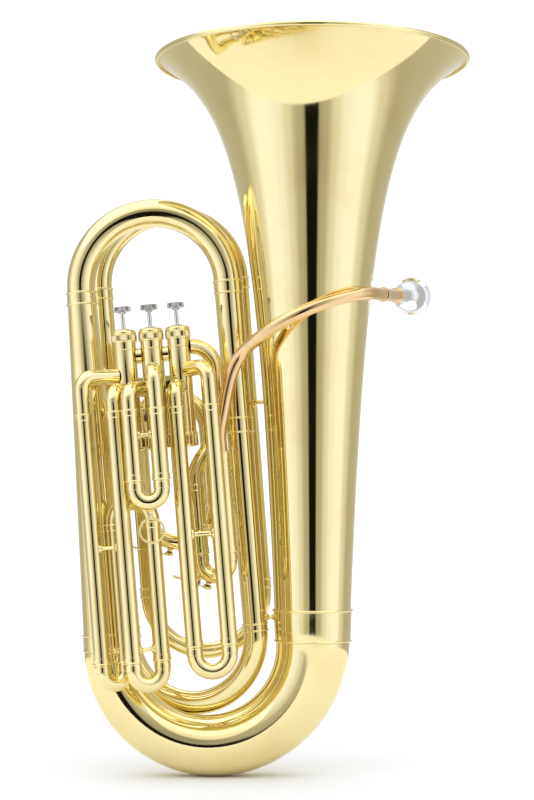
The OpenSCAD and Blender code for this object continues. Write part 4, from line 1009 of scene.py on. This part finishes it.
def make_floor():
    """A plain pale floor, a round sheet under the instrument."""
    turn = np.linspace(0, 2 * np.pi, 96, endpoint=False)
    mesh = bpy.data.meshes.new("floor")
    rim = FLOOR_R * np.stack([np.cos(turn), np.sin(turn), 0 * turn], axis=-1)
    mesh.from_pydata(rim.tolist(), [], [list(range(len(turn)))])
    material, tree, shader = new_material("pale_floor")
    for socket, value in (("Base Color", (0.94, 0.94, 0.94)), ("Roughness", 1.0), ("Specular IOR Level", 0.0)):
        feed(tree, shader.inputs[socket], value)
    mesh.materials.append(material)
    floor = bpy.data.objects.new("floor", mesh)
    bpy.context.scene.collection.objects.link(floor)


# Brightness of the room round the horizon, from the camera's side (0) to behind the instrument (1),
# with a tint that is cooler where the large white sheets stand
ROOM = [(0.0, 0.30, "warm"), (0.11, 0.44, "warm"), (0.18, 0.72, "plain"), (0.255, 0.9, "cool"), (0.34, 1.0, "cool"),
        (0.42, 1.0, "cool"), (0.51, 0.70, "plain"), (0.62, 0.44, "warm"), (0.80, 0.47, "warm"), (1.0, 0.72, "plain")]
ROOF, OPENING = (0.92, 0.95, 1.0), (0.006, 0.006, 0.005)
OPENING_TURN, OPENING_WIDTH, OPENING_TOP = 0.03, (0.042, 0.062), (0.125, 0.165)
TINTS = {"warm": (1.0, 0.99, 0.90), "plain": (1.0, 1.01, 1.02), "cool": (0.98, 1.03, 1.22)}


def make_light():
    """A white tent with a narrow dark opening on the camera's side, and one very soft lamp above."""
    world = bpy.data.worlds.new("white_tent")
    bpy.context.scene.world = world
    world.use_nodes = True
    tree = world.node_tree
    tent = tree.nodes["Background"].inputs
    split = tree.nodes.new("ShaderNodeSeparateXYZ")
    feed(tree, split.inputs["Vector"], tree.nodes.new("ShaderNodeTexCoord").outputs["Generated"])
    x, y, z = (split.outputs[name] for name in "XYZ")
    turn = maths(tree, "ARCTAN2", x, maths(tree, "MULTIPLY", y, -1.0))
    turned = maths(tree, "DIVIDE", maths(tree, "ABSOLUTE", maths(tree, "ADD", turn, OPENING_TURN)), math.pi)
    room = tree.nodes.new("ShaderNodeValToRGB")
    room.color_ramp.interpolation = "EASE"
    while len(room.color_ramp.elements) < len(ROOM):
        room.color_ramp.elements.new(0.5)
    for element, (place, bright, tint) in zip(room.color_ramp.elements, ROOM):
        element.position = place
        element.color = (*(bright * part for part in TINTS[tint]), 1)
    feed(tree, room.inputs["Fac"], turned)
    around = mixed(tree, eased(tree, z, 0.5, 0.95), room.outputs["Color"], ROOF)
    beyond = maths(tree, "MAXIMUM", eased(tree, turned, *OPENING_WIDTH), eased(tree, z, *OPENING_TOP))
    lit = mixed(tree, beyond, OPENING, around)
    straight_ray = tree.nodes.new("ShaderNodeLightPath").outputs["Is Camera Ray"]
    feed(tree, tent["Color"], mixed(tree, straight_ray, lit, (1.0, 1.0, 1.0)))
    feed(tree, tent["Strength"], 1.16)

    lamp = bpy.data.objects.new("overhead", bpy.data.lights.new("overhead", "SUN"))
    lamp.data.energy, lamp.data.angle = 1.0, math.radians(100)
    lamp.rotation_euler = (math.radians(12), math.radians(-8), 0)
    bpy.context.scene.collection.objects.link(lamp)
    bpy.context.scene.view_settings.view_transform = "Standard"


make_camera()
make_floor()
make_light()
